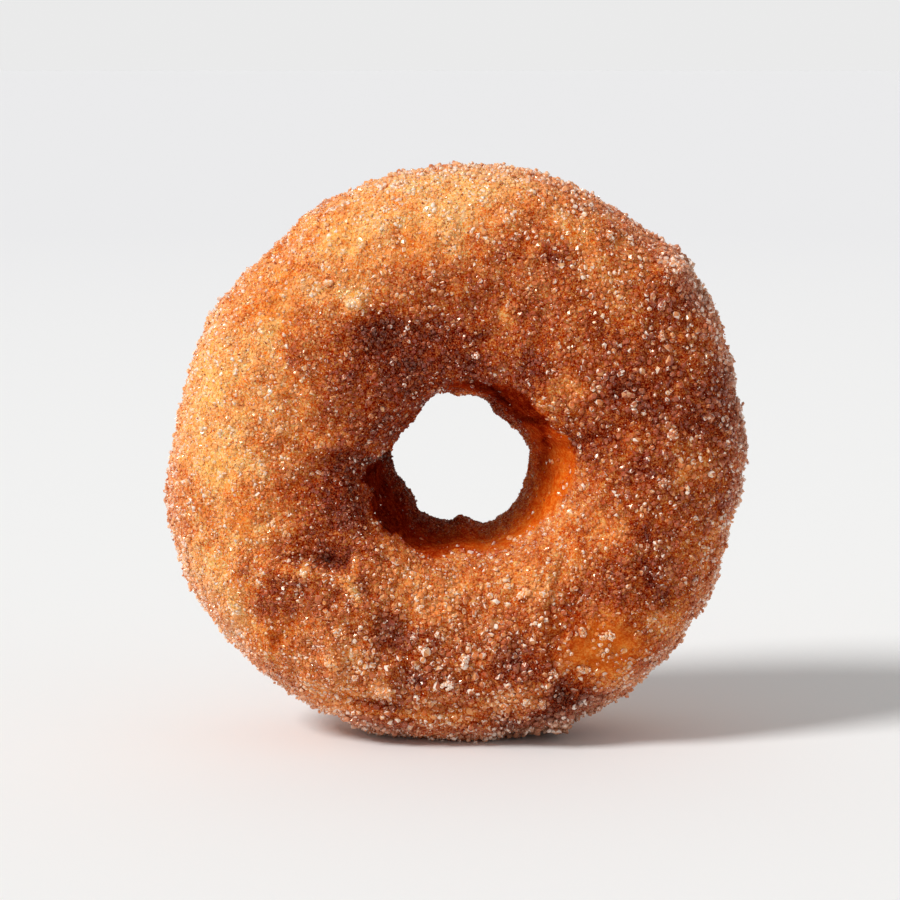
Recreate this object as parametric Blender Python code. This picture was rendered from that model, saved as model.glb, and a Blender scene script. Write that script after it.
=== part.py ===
"""A cinnamon sugar ring doughnut that stands on its edge, as one solid.

The hole runs along Y, and the face that shows most looks to -Y. The origin is on the floor
under the middle of the ring. Sizes are in millimetres until a mesh is made, in metres.
A clock angle starts at +X and runs over +Z, as seen from the front. A place over the ring
runs from its outer belt over the front, through the hole and back over the rear.
"""

import math

import bmesh
import bpy
import numpy as np
from mathutils import Matrix, Vector, noise

MM = 0.001

# Driving sizes
RING_REACH = 42.0  # from the ring's middle to its outer belt
HOLE_REACH = 9.6  # from the hole's middle to its narrowest part
HALF_THICKNESS = 15.1
STANDING_HEIGHT = 41.75  # from the floor to the ring's middle. The reach down is more, so the edge rests flat
HOLE_MIDDLE = (0.4, 40.3)  # across and up
SECTION_LENGTH = 97.5  # once around the dough, over the front and through the hole

# How the ring departs from round: clock angle in degrees, and what is added to its reach
OUTLINE = (
    (0, -0.3), (12, -0.65), (24, -0.45), (38, 0.5), (52, -0.6), (75, -0.3), (92, -0.65), (110, -1.35),
    (120, -1.4), (130, -2.1), (150, -1.4), (168, -1.6), (180, -0.5), (190, 0.75), (202, 1.5), (218, 1.0),
    (232, 0.45), (246, 0.9), (270, 1.0), (288, 1.4), (304, 0.8), (318, 1.3), (330, 0.2), (345, -0.45),
)
# What is added to the reach of the hole
THROAT = (
    (0, 0.5), (20, -0.1), (34, -0.6), (50, -1.0), (66, -0.3), (90, 0.3), (106, 1.1), (119, 0.0),
    (130, -0.6), (150, -0.4), (172, -0.2), (190, -0.1), (202, -0.7), (218, -0.8), (234, 0.3),
    (250, 0.3), (262, -0.1), (270, -0.8), (280, 0.0), (291, 1.2), (315, 1.3), (340, 0.7),
)
# The reach of the funnel's front edge. A flap of dough closes it from 105 to 178 degrees
FRONT_LIP = (
    (0, 15.9), (12, 15.2), (22, 13.2), (36, 12.4), (60, 12.2), (85, 11.7), (104, 11.4), (120, 11.2),
    (150, 11.1), (174, 11.4), (181, 13.6), (196, 13.4), (215, 14.2), (240, 14.0), (262, 13.4),
    (285, 13.4), (305, 14.5), (325, 15.4), (345, 15.9),
)
BACK_LIP = ((0, 13.6), (70, 12.6), (130, 14.0), (200, 12.9), (260, 14.3), (320, 13.2))
# How deep in the hole its narrowest part is, behind the middle of the thickness
THROAT_DEPTH = (
    (0, 3.0), (40, 2.0), (80, 0.0), (112, -6.0), (166, -6.0), (186, 3.0), (240, 4.0), (300, 4.0),
)
# What is added to half the thickness
FRONT_BULGE = (
    (0, -0.3), (40, 0.1), (90, -0.3), (135, 0.2), (190, -0.5), (235, 0.4), (275, -0.5), (320, 0.0),
)
BACK_BULGE = ((0, 0.3), (80, -0.2), (150, 0.4), (220, -0.1), (300, 0.5))
WALL_SHARE = 0.42  # how far the funnel's wall is from the throat to the lip
WALL_DEPTH = (0.55, -4.4)  # its share of the throat's depth, and what is added

# The rings that the section passes: place over the ring, how far it is centred on the hole,
# whose reach it takes and how much is added, whose depth it takes and its share of that
SECTION = (
    (0.0, 0.0, "outline", 0.0, "front", -0.03),
    (6.5, 0.0, "outline", -1.5, "front", -0.44),
    (13.0, 0.0, "outline", -5.6, "front", -0.79),
    (23.5, 0.3, "outline", -15.6, "front", -1.0),
    (32.0, 0.8, "lip", 4.2, "front", -0.93),
    (37.0, 1.0, "lip", 0.0, "front", -0.72),
    (42.0, 1.0, "wall", 0.0, "wall", 1.0),
    (49.0, 1.0, "throat", 0.0, "throat", 1.0),
    (58.0, 1.0, "back lip", 0.0, "back", 0.74),
    (72.0, 0.3, "outline", -16.2, "back", 1.0),
    (84.0, 0.0, "outline", -5.2, "back", 0.76),
    (91.0, 0.0, "outline", -1.3, "back", 0.42),
)

# Facets: around the ring, over the side that shows and over the rear
STEPS_ROUND = 108
SHOWN_LENGTH, SHOWN_STEPS = 60.0, 27
REAR_STEPS = 11

# Lumps and hollows of the fried dough: how far apart, how high, and where the pattern starts
LUMPS = ((15.0, 0.8, 11.3), (5.5, 0.4, 4.7))
# The sugar's own roughness, and where it is thick or missing: the crust low on the front and
# the bare patch beside it, each with its middle and its reach across and up
SUGAR_LUMPS = (2.7, 0.6, 8.1)
CRUST_MIDDLE, CRUST_REACH, CRUST_ROUGHER = (-3.0, 14.0), (18.0, 9.5), 0.9
BARE_MIDDLE, BARE_REACH = (20.3, 15.6), (5.6, 4.6)
BARE_WALL, WALL_FADE = 15.0, 2.5  # within this far of the hole's middle the dough is bare

# Relief of the front, at places across and up on it.
# Mounds: place, reach across and up, height
MOUNDS = (
    ((31.4, 68.6), (2.6, 2.4), 1.3),  # the pinched fold on the upper right edge
    ((-10.0, 59.2), (5.5, 4.5), -1.1),  # the browned dimple over the hole
    ((-18.2, 28.4), (3.2, 2.0), -0.9),  # the pit behind the torn ridge
    ((-9.4, 17.6), (3.0, 3.6), -0.9),  # pits of the thick sugar crust
    ((8.8, 15.0), (3.2, 2.4), -0.8),
    ((-7.6, 10.6), (2.2, 1.8), -0.7),
    ((-17.6, 17.0), (3.0, 4.6), 0.8),  # heaped sugar at the crust's left end
    ((9.4, 9.4), (3.6, 2.6), 0.7),  # and at its lower right
    ((20.3, 15.6), (5.6, 4.6), 0.5),  # the smooth bulge beside the crust
    ((40.4, 32.0), (1.6, 1.6), -0.7),  # nicks of the right and left edges
    ((34.4, 15.7), (1.8, 1.8), -0.8),
    ((-26.1, 71.9), (2.0, 2.0), -0.5),
    ((-38.1, 57.2), (2.2, 2.2), -0.5),
)
# Creases: path, half width, depth
CREASES = (
    (((32.6, 70.2), (34.0, 68.0), (35.0, 65.2)), 1.2, 1.0),  # under the pinched fold
    (((-18.6, 42.2), (-15.4, 43.0), (-13.4, 41.4)), 1.3, 0.9),  # beside the flap's edge
    (((-19.4, 8.6), (-14.0, 6.6), (-8.1, 5.9), (0.4, 5.6)), 1.3, 0.7),  # along the crust's lower edge
)
# Torn edges: path, which way the raised dough is, its height, and how far it takes to run out
TORN_EDGES = (
    (((-25.6, 27.2), (-22.5, 27.6), (-20.0, 27.2), (-17.4, 26.4), (-15.0, 26.0), (-13.9, 23.4)),
     (-0.5, -0.87), 1.1, 4.5),
    (((17.0, 5.8), (14.0, 9.0), (12.4, 15.0), (12.6, 22.0)), (-0.97, 0.26), 1.2, 6.0),
)
EDGE_SHARPNESS = 0.7
FRONT_FADE = 5.0  # the depth over which the front's relief ends behind the outer belt

# Clumps of sugar crystals on the crust, none on the bare dough or the edge that stands on the floor.
# The largest ones: across, up and size
LARGEST_CLUMPS = (
    (1.8, 13.2, 2.1), (-1.6, 10.2, 2.3), (-7.2, 11.6, 1.5), (-18.2, 13.4, 2.0), (-16.7, 18.2, 1.9),
    (11.8, 8.0, 1.9), (-14.0, 11.6, 1.6), (-10.4, 9.0, 2.7), (-5.6, 18.0, 1.6), (9.4, 23.8, 2.2),
    (21.2, 16.7, 2.4), (17.4, 18.2, 2.0), (17.6, 11.6, 2.0), (13.6, 12.0, 1.6), (-14.4, 64.1, 2.4),
    (-18.3, 67.3, 1.5), (-24.2, 46.8, 1.7), (-21.6, 26.9, 2.0), (-15.3, 25.2, 1.8), (-28.4, 25.3, 1.5),
    (30.9, 69.4, 2.2), (21.0, 73.2, 1.9), (29.0, 64.0, 1.7), (28.5, 59.2, 1.7), (30.0, 45.5, 2.4),
    (28.4, 38.8, 1.7), (3.3, 57.4, 1.6), (6.0, 82.8, 2.0),
)
GRAINS_IN_LARGEST, GRAIN_SHARE = 2, 0.78  # how many grains, and each one's share of the clump's size
CLUMPS, CLUMP_SIZE, CLUMP_SHAPE = 32, (1.2, 1.8), (1.0, 0.85, 0.7)
CLUMP_SUNK = 0.05  # how far in a clump's middle is, as a share of its size
CLUMP_TILT = 0.3  # the most that a clump usually leans, as a share of upright
CLUMP_SEED = 41
CLUMP_PLACES, CLUMP_CHOICE = 4000, 24  # places drawn in all, and those that each clump picks from
CRUST_ROOM, REAR_ROOM = 0.4, 1.3  # how far apart clumps are wanted, as a share of that on the front
LOWEST_CLUMP = 1.5
MOST_BARE = 0.5  # no clump where the bare patch's share is over this

# The fried crust with its sugar, from golden to brown
DOUGH_COLOUR = (0.50, 0.19, 0.055, 1.0)
DOUGH_ROUGHNESS = 0.62
SHARP_ANGLE = math.radians(40)


def closed_run(knots, sizes, period, at):
    """Reads a smooth closed run through sizes at knots, which never swings past them."""
    knots = np.asarray(knots, float)
    sizes = np.asarray(sizes, float)
    gap = np.diff(np.append(knots, knots[0] + period))
    wide = gap.reshape(-1, *[1] * (sizes.ndim - 1))
    slope = (np.roll(sizes, -1, axis=0) - sizes) / wide
    before = np.roll(slope, 1, axis=0)
    same_way = slope * before > 0
    tangent = np.where(same_way, 2 * slope * before / np.where(same_way, slope + before, 1), 0)
    at = (np.asarray(at, float) - knots[0]) % period + knots[0]
    i = np.searchsorted(knots, at, side="right") - 1
    j = (i + 1) % len(knots)
    shape = (-1, *[1] * (sizes.ndim - 1))
    t = ((at - knots[i]) / gap[i]).reshape(shape)
    h = gap[i].reshape(shape)
    return (
        sizes[i] * (1 + 2 * t) * (1 - t) ** 2
        + tangent[i] * h * t * (1 - t) ** 2
        + sizes[j] * t * t * (3 - 2 * t)
        - tangent[j] * h * t * t * (1 - t)
    )


def around(profile, clock):
    """A named profile's size at each clock angle in degrees."""
    angles, sizes = zip(*profile)
    return closed_run(angles, sizes, 360.0, clock)


def section_rings(clock):
    """Each of the section's rings at each clock angle: how far it is centred on the hole, reach and depth."""
    throat, lip = HOLE_REACH + around(THROAT, clock), around(FRONT_LIP, clock)
    throat_depth = around(THROAT_DEPTH, clock)
    reaches = {
        "outline": RING_REACH + around(OUTLINE, clock),
        "lip": lip,
        "wall": throat + WALL_SHARE * (lip - throat),
        "throat": throat,
        "back lip": around(BACK_LIP, clock),
    }
    depths = {
        "front": HALF_THICKNESS + around(FRONT_BULGE, clock),
        "wall": WALL_DEPTH[0] * throat_depth + WALL_DEPTH[1],
        "throat": throat_depth,
        "back": HALF_THICKNESS + around(BACK_BULGE, clock),
    }
    return np.array([
        (share + 0 * clock, reaches[reach] + added, depths[depth] * part)
        for _, share, reach, added, depth, part in SECTION
    ])


def smooth_ring(clock, over):
    """Points of the ring without its relief, as an array of over by clock by 3."""
    places = [ring[0] for ring in SECTION]
    rings = closed_run(places, section_rings(clock), SECTION_LENGTH, over)
    share, reach, depth = rings[:, 0], rings[:, 1], rings[:, 2]
    turn = np.radians(clock)
    across = share * HOLE_MIDDLE[0] + reach * np.cos(turn)
    up = STANDING_HEIGHT + share * (HOLE_MIDDLE[1] - STANDING_HEIGHT) + reach * np.sin(turn)
    return np.stack([across, depth, up], axis=-1)


def outward(points):
    """The outward direction at each point of a grid that closes both ways."""
    along = np.roll(points, -1, axis=1) - np.roll(points, 1, axis=1)
    over = np.roll(points, -1, axis=0) - np.roll(points, 1, axis=0)
    normal = np.cross(along, over)
    return normal / np.linalg.norm(normal, axis=-1, keepdims=True)


def lumps(points, apart, seed):
    """Smooth noise from -1 to 1 at each point, with lumps that far apart."""
    flat = points.reshape(-1, 3) / apart + seed
    return np.array([noise.noise(Vector(p)) for p in flat]).reshape(points.shape[:-1])


def off_path(points, path):
    """How far across and up each point is from the nearest place of a path on the front."""
    off = np.full((*points.shape[:-1], 2), np.inf)
    spots = points[..., (0, 2)]
    for start, end in zip(np.array(path), np.array(path)[1:]):
        run = end - start
        share = np.clip((spots - start) @ run / (run @ run), 0, 1)
        this = spots - start - share[..., None] * run
        closer = np.hypot(this[..., 0], this[..., 1]) < np.hypot(off[..., 0], off[..., 1])
        off = np.where(closer[..., None], this, off)
    return off


def share_within(points, middle, reach):
    """1 at a place on the front, and less the further a point is from it."""
    off = ((points[..., 0] - middle[0]) / reach[0]) ** 2 + ((points[..., 2] - middle[1]) / reach[1]) ** 2
    return np.where(points[..., 1] < 0, np.exp(-off), 0)


def hole_wall(points):
    """1 on the hole's wall, falling to 0 past its lip."""
    reach = np.hypot(points[..., 0] - HOLE_MIDDLE[0], points[..., 2] - HOLE_MIDDLE[1])
    return np.clip((BARE_WALL - reach) / WALL_FADE, 0, 1)


def front_relief(points):
    """How far the folds, pits, creases and torn edges stand out of the front at each point."""
    height = np.zeros(points.shape[:-1])
    for (across, up), (wide, tall), tip in MOUNDS:
        off = ((points[..., 0] - across) / wide) ** 2 + ((points[..., 2] - up) / tall) ** 2
        height += tip * np.exp(-off)
    for path, width, depth in CREASES:
        off = off_path(points, path)
        height -= depth * np.exp(-(off**2).sum(axis=-1) / width**2)
    for path, raised_way, tip, run_out in TORN_EDGES:
        off = off_path(points, path)
        raised = 0.5 + 0.5 * np.tanh(off @ np.array(raised_way) / EDGE_SHARPNESS)
        height += tip * raised * np.exp(-(off**2).sum(axis=-1) / run_out**2)
    return height * np.clip(0.5 - points[..., 1] / FRONT_FADE, 0, 1) * (1 - hole_wall(points))


def sugar_coat(points):
    """How thick the sugar is at each point, 1 on most of the ring."""
    thick = 1 + CRUST_ROUGHER * share_within(points, CRUST_MIDDLE, CRUST_REACH)
    return thick * (1 - share_within(points, BARE_MIDDLE, BARE_REACH)) * (1 - hole_wall(points))


def relief(points):
    """How far the dough and its sugar stand out of the smooth ring at each point."""
    height = front_relief(points)
    for apart, tall, seed in LUMPS:
        height += tall * lumps(points, apart, seed)
    apart, tall, seed = SUGAR_LUMPS
    return height + tall * sugar_coat(points) * lumps(points, apart, seed)


def dough_points(clock, over):
    points = smooth_ring(clock, over)
    points = points + outward(points) * relief(points)[..., None]
    points[..., 2] = np.maximum(points[..., 2], 0.0)
    return points


def facet_places():
    """The clock angles and the places over the ring where the facets meet."""
    clock = np.linspace(0, 360, STEPS_ROUND, endpoint=False)
    shown = np.linspace(0, SHOWN_LENGTH, SHOWN_STEPS, endpoint=False)
    rear = np.linspace(SHOWN_LENGTH, SECTION_LENGTH, REAR_STEPS, endpoint=False)
    return clock, np.concatenate([shown, rear])


def make_dough():
    """Lays the rings of points one after the other and bridges each to the next."""
    clock, over = facet_places()
    points = dough_points(clock, over) * MM
    mesh = bpy.data.meshes.new("doughnut")
    dough = bmesh.new()
    rings = [[dough.verts.new(point) for point in ring] for ring in points]
    for ring, next_ring in zip(rings, rings[1:] + rings[:1]):
        for i, corner in enumerate(ring):
            before = i - 1
            dough.faces.new((corner, next_ring[i], next_ring[before], ring[before]))
    bmesh.ops.triangulate(dough, faces=dough.faces)
    dough.to_mesh(mesh)
    dough.free()
    ring = bpy.data.objects.new("doughnut", mesh)
    bpy.context.scene.collection.objects.link(ring)
    return ring


def clump_room(points):
    """How far apart clumps are wanted at each point, and none where the dough is bare."""
    room = np.where(points[:, 1] > 0, REAR_ROOM, 1.0)
    room += (CRUST_ROOM - 1) * share_within(points, CRUST_MIDDLE, CRUST_REACH)
    bare = (hole_wall(points) > 0) | (points[:, 2] < LOWEST_CLUMP)
    bare |= share_within(points, BARE_MIDDLE, BARE_REACH) > MOST_BARE
    return np.where(bare, np.inf, room)


def spread_clumps(mesh):
    """Where each clump sits on the dough, and its size: the largest first, then the rest spread evenly."""
    corners = np.array([[mesh.vertices[i].co for i in face.vertices] for face in mesh.polygons]) / MM
    facing = np.array([face.normal for face in mesh.polygons])
    areas = np.array([face.area for face in mesh.polygons])
    middles = corners.mean(axis=1)
    places = []
    for across, up, size in LARGEST_CLUMPS:
        off = np.hypot(middles[:, 0] - across, middles[:, 2] - up) + np.where(facing[:, 1] < 0, 0, np.inf)
        nearest = int(np.argmin(off))
        places.append((middles[nearest], facing[nearest], size))
    draw = np.random.default_rng(CLUMP_SEED)
    chance = areas / clump_room(middles) ** 2
    faces = draw.choice(len(areas), CLUMP_PLACES, p=chance / chance.sum())
    weights = draw.dirichlet((1, 1, 1), CLUMP_PLACES)
    points = np.einsum("fk,fkc->fc", weights, corners[faces])
    room = clump_room(points)
    free = np.full(CLUMP_PLACES, np.inf)
    for place, _, _ in places:
        free = np.minimum(free, np.linalg.norm(points - place, axis=1))
    for size in np.linspace(CLUMP_SIZE[1], CLUMP_SIZE[0], CLUMPS):
        choice = draw.choice(CLUMP_PLACES, CLUMP_CHOICE, replace=False)
        best = choice[np.argmax(free[choice] / room[choice])]
        places.append((points[best], facing[faces[best]], size))
        free = np.minimum(free, np.linalg.norm(points - points[best], axis=1))
    return places


def make_clumps(mesh):
    """A collection with a low grain for each clump, and a few that touch for the largest."""
    sugar = bpy.data.collections.new("sugar clumps")
    bpy.context.scene.collection.children.link(sugar)
    grain = bpy.data.meshes.new("grain")
    shape = bmesh.new()
    bmesh.ops.create_icosphere(shape, subdivisions=1, radius=0.5 * MM)
    shape.to_mesh(grain)
    shape.free()
    draw = np.random.default_rng(CLUMP_SEED + 1)
    for number, (place, facing, size) in enumerate(spread_clumps(mesh)):
        large = number < len(LARGEST_CLUMPS)
        for _ in range(GRAINS_IN_LARGEST if large else 1):
            piece = bpy.data.objects.new("grain", grain)
            aside = draw.normal(size=3) if large else np.zeros(3)
            aside = aside - facing * (aside @ facing)
            aside = aside / max(np.linalg.norm(aside), 1.0)
            spot = place - facing * CLUMP_SUNK * size + aside * size * (1 - GRAIN_SHARE)
            wide = size * GRAIN_SHARE if large else size
            upright = Vector(facing + draw.normal(size=3) * CLUMP_TILT).to_track_quat("Z", "Y")
            spin = Matrix.Rotation(draw.uniform(0, math.tau), 4, "Z")
            scale = Matrix.Diagonal((*[wide * share for share in CLUMP_SHAPE], 1))
            turned = upright.to_matrix().to_4x4() @ spin
            piece.matrix_world = Matrix.Translation(Vector(spot * MM)) @ turned @ scale
            sugar.objects.link(piece)
    return sugar


def fuse(ring, sugar):
    """Joins the clumps to the dough as one closed body."""
    union = ring.modifiers.new("sugar", "BOOLEAN")
    union.operation = "UNION"
    union.operand_type = "COLLECTION"
    union.collection = sugar
    union.solver = "EXACT"
    with bpy.context.temp_override(object=ring):
        bpy.ops.object.modifier_apply(modifier=union.name)
    for piece in list(sugar.objects):
        bpy.data.objects.remove(piece)
    bpy.data.collections.remove(sugar)


def keep_outer_skin(mesh):
    """Fills any hollow that joining sealed, and drops loose scraps: only the largest skin stays."""
    body = bmesh.new()
    body.from_mesh(mesh)
    left = set(body.faces)
    skins = []
    while left:
        skin, reached = set(), {left.pop()}
        while reached:
            skin |= reached
            reached = {near for face in reached for edge in face.edges for near in edge.link_faces} - skin
        left -= skin
        skins.append(skin)
    largest = max(skins, key=len)
    bmesh.ops.delete(body, geom=[face for face in body.faces if face not in largest], context="FACES")
    body.to_mesh(mesh)
    body.free()


def finish(ring):
    crust = bpy.data.materials.new("fried crust with cinnamon sugar")
    crust.use_nodes = True
    shader = crust.node_tree.nodes["Principled BSDF"]
    shader.inputs["Base Color"].default_value = DOUGH_COLOUR
    shader.inputs["Roughness"].default_value = DOUGH_ROUGHNESS
    shader.inputs["Metallic"].default_value = 0.0
    ring.data.materials.clear()
    ring.data.materials.append(crust)
    ring.data.shade_smooth()
    ring.data.set_sharp_from_angle(angle=SHARP_ANGLE)


def clear_scene():
    for obj in list(bpy.data.objects):
        bpy.data.objects.remove(obj)


def main():
    clear_scene()
    ring = make_dough()
    fuse(ring, make_clumps(ring.data))
    keep_outer_skin(ring.data)
    finish(ring)


main()
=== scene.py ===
"""Looks of a cinnamon sugar ring doughnut that stands on its edge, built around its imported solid.

The dough is a fine mesh over the same named sizes as the solid. The sugar and the cinnamon on it
are real pieces: coarse crystals, granulated, fine and stained grains, clean splinters, clumps and
specks. Sizes are in millimetres until a mesh is made. A clock angle starts at +X and runs over +Z,
as seen from the front, which looks to -Y. A place over the ring runs from its outer belt over the
front, through the hole and back over the rear.
"""

import math

import bmesh
import bpy
import numpy as np
from mathutils import Matrix, Vector, noise


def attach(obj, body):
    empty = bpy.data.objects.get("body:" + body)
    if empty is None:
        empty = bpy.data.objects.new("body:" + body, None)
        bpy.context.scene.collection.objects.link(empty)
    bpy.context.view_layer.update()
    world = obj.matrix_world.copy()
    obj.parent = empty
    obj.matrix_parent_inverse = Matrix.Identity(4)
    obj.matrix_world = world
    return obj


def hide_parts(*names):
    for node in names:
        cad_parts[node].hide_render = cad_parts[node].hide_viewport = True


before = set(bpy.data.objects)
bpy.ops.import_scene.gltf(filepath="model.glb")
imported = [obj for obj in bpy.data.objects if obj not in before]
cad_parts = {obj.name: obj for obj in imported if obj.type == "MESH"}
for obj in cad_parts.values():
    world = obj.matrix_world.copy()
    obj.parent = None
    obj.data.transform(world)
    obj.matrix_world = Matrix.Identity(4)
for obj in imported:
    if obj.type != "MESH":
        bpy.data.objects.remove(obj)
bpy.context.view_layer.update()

MM = 0.001

# Sizes of the ring, as in the solid
RING_REACH = 42.0
HOLE_REACH = 9.6
HALF_THICKNESS = 15.1
STANDING_HEIGHT = 41.75
HOLE_MIDDLE = (0.4, 40.3)
SECTION_LENGTH = 97.5
OUTLINE = (
    (0, -0.3), (12, -0.65), (24, -0.45), (38, 0.5), (52, -0.6), (75, -0.3), (92, -0.65), (110, -1.35),
    (120, -1.4), (130, -2.1), (150, -1.4), (168, -1.6), (180, -0.5), (190, 0.75), (202, 1.5), (218, 1),
    (232, 0.45), (246, 0.9), (270, 1), (288, 1.4), (304, 0.8), (318, 1.3), (330, 0.2), (345, -0.45),
)
THROAT = (
    (0, 0.5), (20, -0.1), (34, -0.6), (50, -1), (66, -0.3), (90, 0.3), (106, 1.1), (119, 0),
    (130, -0.6), (150, -0.4), (172, -0.2), (190, -0.1), (202, -0.7), (218, -0.8), (234, 0.3),
    (250, 0.3), (262, -0.1), (270, -0.8), (280, 0), (291, 1.2), (315, 1.3), (340, 0.7),
)
FRONT_LIP = (
    (0, 15.9), (12, 15.2), (22, 13.2), (36, 12.4), (60, 12.2), (85, 11.7), (104, 11.4), (120, 11.2),
    (150, 11.1), (174, 11.4), (181, 13.6), (196, 13.4), (215, 14.2), (240, 14), (262, 13.4),
    (285, 13.4), (305, 14.5), (325, 15.4), (345, 15.9),
)
BACK_LIP = ((0, 13.6), (70, 12.6), (130, 14.0), (200, 12.9), (260, 14.3), (320, 13.2))
THROAT_DEPTH = (
    (0, 3), (40, 2), (80, 0), (112, -6), (166, -6), (186, 3), (240, 4), (300, 4),
)
FRONT_BULGE = (
    (0, -0.3), (40, 0.1), (90, -0.3), (135, 0.2), (190, -0.5), (235, 0.4), (275, -0.5), (320, 0),
)
BACK_BULGE = ((0, 0.3), (80, -0.2), (150, 0.4), (220, -0.1), (300, 0.5))
WALL_SHARE = 0.42
WALL_DEPTH = (0.55, -4.4)
SECTION = (
    (0, 0, "outline", 0, "front", -0.03),
    (6.5, 0, "outline", -1.5, "front", -0.44),
    (13, 0, "outline", -5.6, "front", -0.79),
    (23.5, 0.3, "outline", -15.6, "front", -1),
    (32, 0.8, "lip", 4.2, "front", -0.93),
    (37, 1, "lip", 0, "front", -0.72),
    (42, 1, "wall", 0, "wall", 1),
    (49, 1, "throat", 0, "throat", 1),
    (58, 1, "back lip", 0, "back", 0.74),
    (72, 0.3, "outline", -16.2, "back", 1),
    (84, 0, "outline", -5.2, "back", 0.76),
    (91, 0, "outline", -1.3, "back", 0.42),
)
LUMPS = ((15.0, 0.8, 11.3), (5.5, 0.4, 4.7))
SUGAR_LUMPS = (2.7, 0.6, 8.1)
CRUST_MIDDLE, CRUST_REACH, CRUST_ROUGHER = (-3.0, 14.0), (18.0, 9.5), 0.9
BARE_MIDDLE, BARE_REACH = (20.3, 15.6), (5.6, 4.6)
BARE_WALL, WALL_FADE = 15.0, 2.5
MOUNDS = (
    ((31.4, 68.6), (2.6, 2.4), 1.3),
    ((-10, 59.2), (5.5, 4.5), -1.1),
    ((-18.2, 28.4), (3.2, 2), -0.9),
    ((-9.4, 17.6), (3, 3.6), -0.9),
    ((8.8, 15), (3.2, 2.4), -0.8),
    ((-7.6, 10.6), (2.2, 1.8), -0.7),
    ((-17.6, 17), (3, 4.6), 0.8),
    ((9.4, 9.4), (3.6, 2.6), 0.7),
    ((20.3, 15.6), (5.6, 4.6), 0.5),
    ((40.4, 32), (1.6, 1.6), -0.7),
    ((34.4, 15.7), (1.8, 1.8), -0.8),
    ((-26.1, 71.9), (2, 2), -0.5),
    ((-38.1, 57.2), (2.2, 2.2), -0.5),
)
CREASES = (
    (((32.6, 70.2), (34, 68), (35, 65.2)), 1.2, 1),
    (((-18.6, 42.2), (-15.4, 43), (-13.4, 41.4)), 1.3, 0.9),
    (((-19.4, 8.6), (-14, 6.6), (-8.1, 5.9), (0.4, 5.6)), 1.3, 0.7),
)
TORN_EDGES = (
    (((-25.6, 27.2), (-22.5, 27.6), (-20, 27.2), (-17.4, 26.4), (-15, 26), (-13.9, 23.4)),
     (-0.5, -0.87), 1.1, 4.5),
    (((17, 5.8), (14, 9), (12.4, 15), (12.6, 22)), (-0.97, 0.26), 1.2, 6),
)
EDGE_SHARPNESS = 0.7
FRONT_FADE = 5.0

# The solid's facets and the clumps of sugar on it, which are repeated here to place the real ones
SOLID_ROUND = 108
SOLID_OVER = ((0.0, 60.0, 27), (60.0, 97.5, 11))
LARGEST_CLUMPS = (
    (1.8, 13.2, 2.1), (-1.6, 10.2, 2.3), (-7.2, 11.6, 1.5), (-18.2, 13.4, 2), (-16.7, 18.2, 1.9),
    (11.8, 8, 1.9), (-14, 11.6, 1.6), (-10.4, 9, 2.7), (-5.6, 18, 1.6), (9.4, 23.8, 2.2),
    (21.2, 16.7, 2.4), (17.4, 18.2, 2), (17.6, 11.6, 2), (13.6, 12, 1.6), (-14.4, 64.1, 2.4),
    (-18.3, 67.3, 1.5), (-24.2, 46.8, 1.7), (-21.6, 26.9, 2), (-15.3, 25.2, 1.8), (-28.4, 25.3, 1.5),
    (30.9, 69.4, 2.2), (21, 73.2, 1.9), (29, 64, 1.7), (28.5, 59.2, 1.7), (30, 45.5, 2.4),
    (28.4, 38.8, 1.7), (3.3, 57.4, 1.6), (6, 82.8, 2),
)
GRAINS_IN_LARGEST, GRAIN_SHARE = 2, 0.78
CLUMPS, CLUMP_SIZE, CLUMP_SHAPE = 32, (1.2, 1.8), (1.0, 0.85, 0.7)
CLUMP_SUNK = 0.05
CLUMP_TILT = 0.3
CLUMP_SEED = 41
CLUMP_PLACES, CLUMP_CHOICE = 4000, 24
CRUST_ROOM, REAR_ROOM = 0.4, 1.3
LOWEST_CLUMP = 1.5
MOST_BARE = 0.5
GRAINS_A_MM, PILED_SIZE = 5.0, (0.5, 0.9)
WHITE_CLUMPS, WHITER = 2, 1.6  # the first clumps are of clean sugar
THROAT_CRUMBS = (0.8, 0.35, 4.4)  # apart, height and start, at the hole's narrowest place
THROAT_BAND = 2.0  # how far fine sugar lies up the wall from the hole's narrowest place
HEAPED = 0.35  # the height of the heaps of coarse crystals
PROUD, PROUD_FROM, PROUD_FADE = 0.5, 37.5, 3.0  # how far some stand out, from that reach on
BARER = 1.5  # how much further the bare patch's middle reaches than the solid's
REAR_SUGAR = 0.6  # how much sugar the rear has, as a share of the front's

# The fine mesh of the dough: 0.5 mm facets, set in by about half a sugar grain
FINE_ROUND = 448
FINE_OVER = ((0.0, 60.0, 128), (60.0, 97.5, 48))
SUGAR_DEPTH = 0.3
FINE_SHARPNESS = 0.35
FINE_LUMPS = ((2.7, 0.45, 8.1), (1.3, 0.3, 3.3), (0.7, 0.13, 5.9))  # crumbs: apart, height, start

# Where the sugar ends round the hole: clock angle, and reach from the hole's middle. From 120 to
# 172 degrees the flap is sugared down to its edge
SUGAR_EDGE = (
    (0, 16.3), (17, 16.4), (22, 15), (34, 14.4), (54, 14.2), (73, 13.2), (87, 12.8), (100, 12),
    (108, 10.6), (120, 9), (172, 9), (176, 10.4), (179, 13), (187, 14), (195, 12.8), (202, 13.8),
    (219, 13.7), (227, 13.3), (245, 13.5), (260, 12.9), (268, 12.5), (281, 12.7), (290, 13.1),
    (304, 13.6), (318, 13.9), (330, 14.6), (346, 15.6),
)
EDGE_RAGGED = ((2.2, 0.45, 51.0), (0.8, 0.35, 52.0))  # apart, how far the edge wanders, and start
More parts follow.
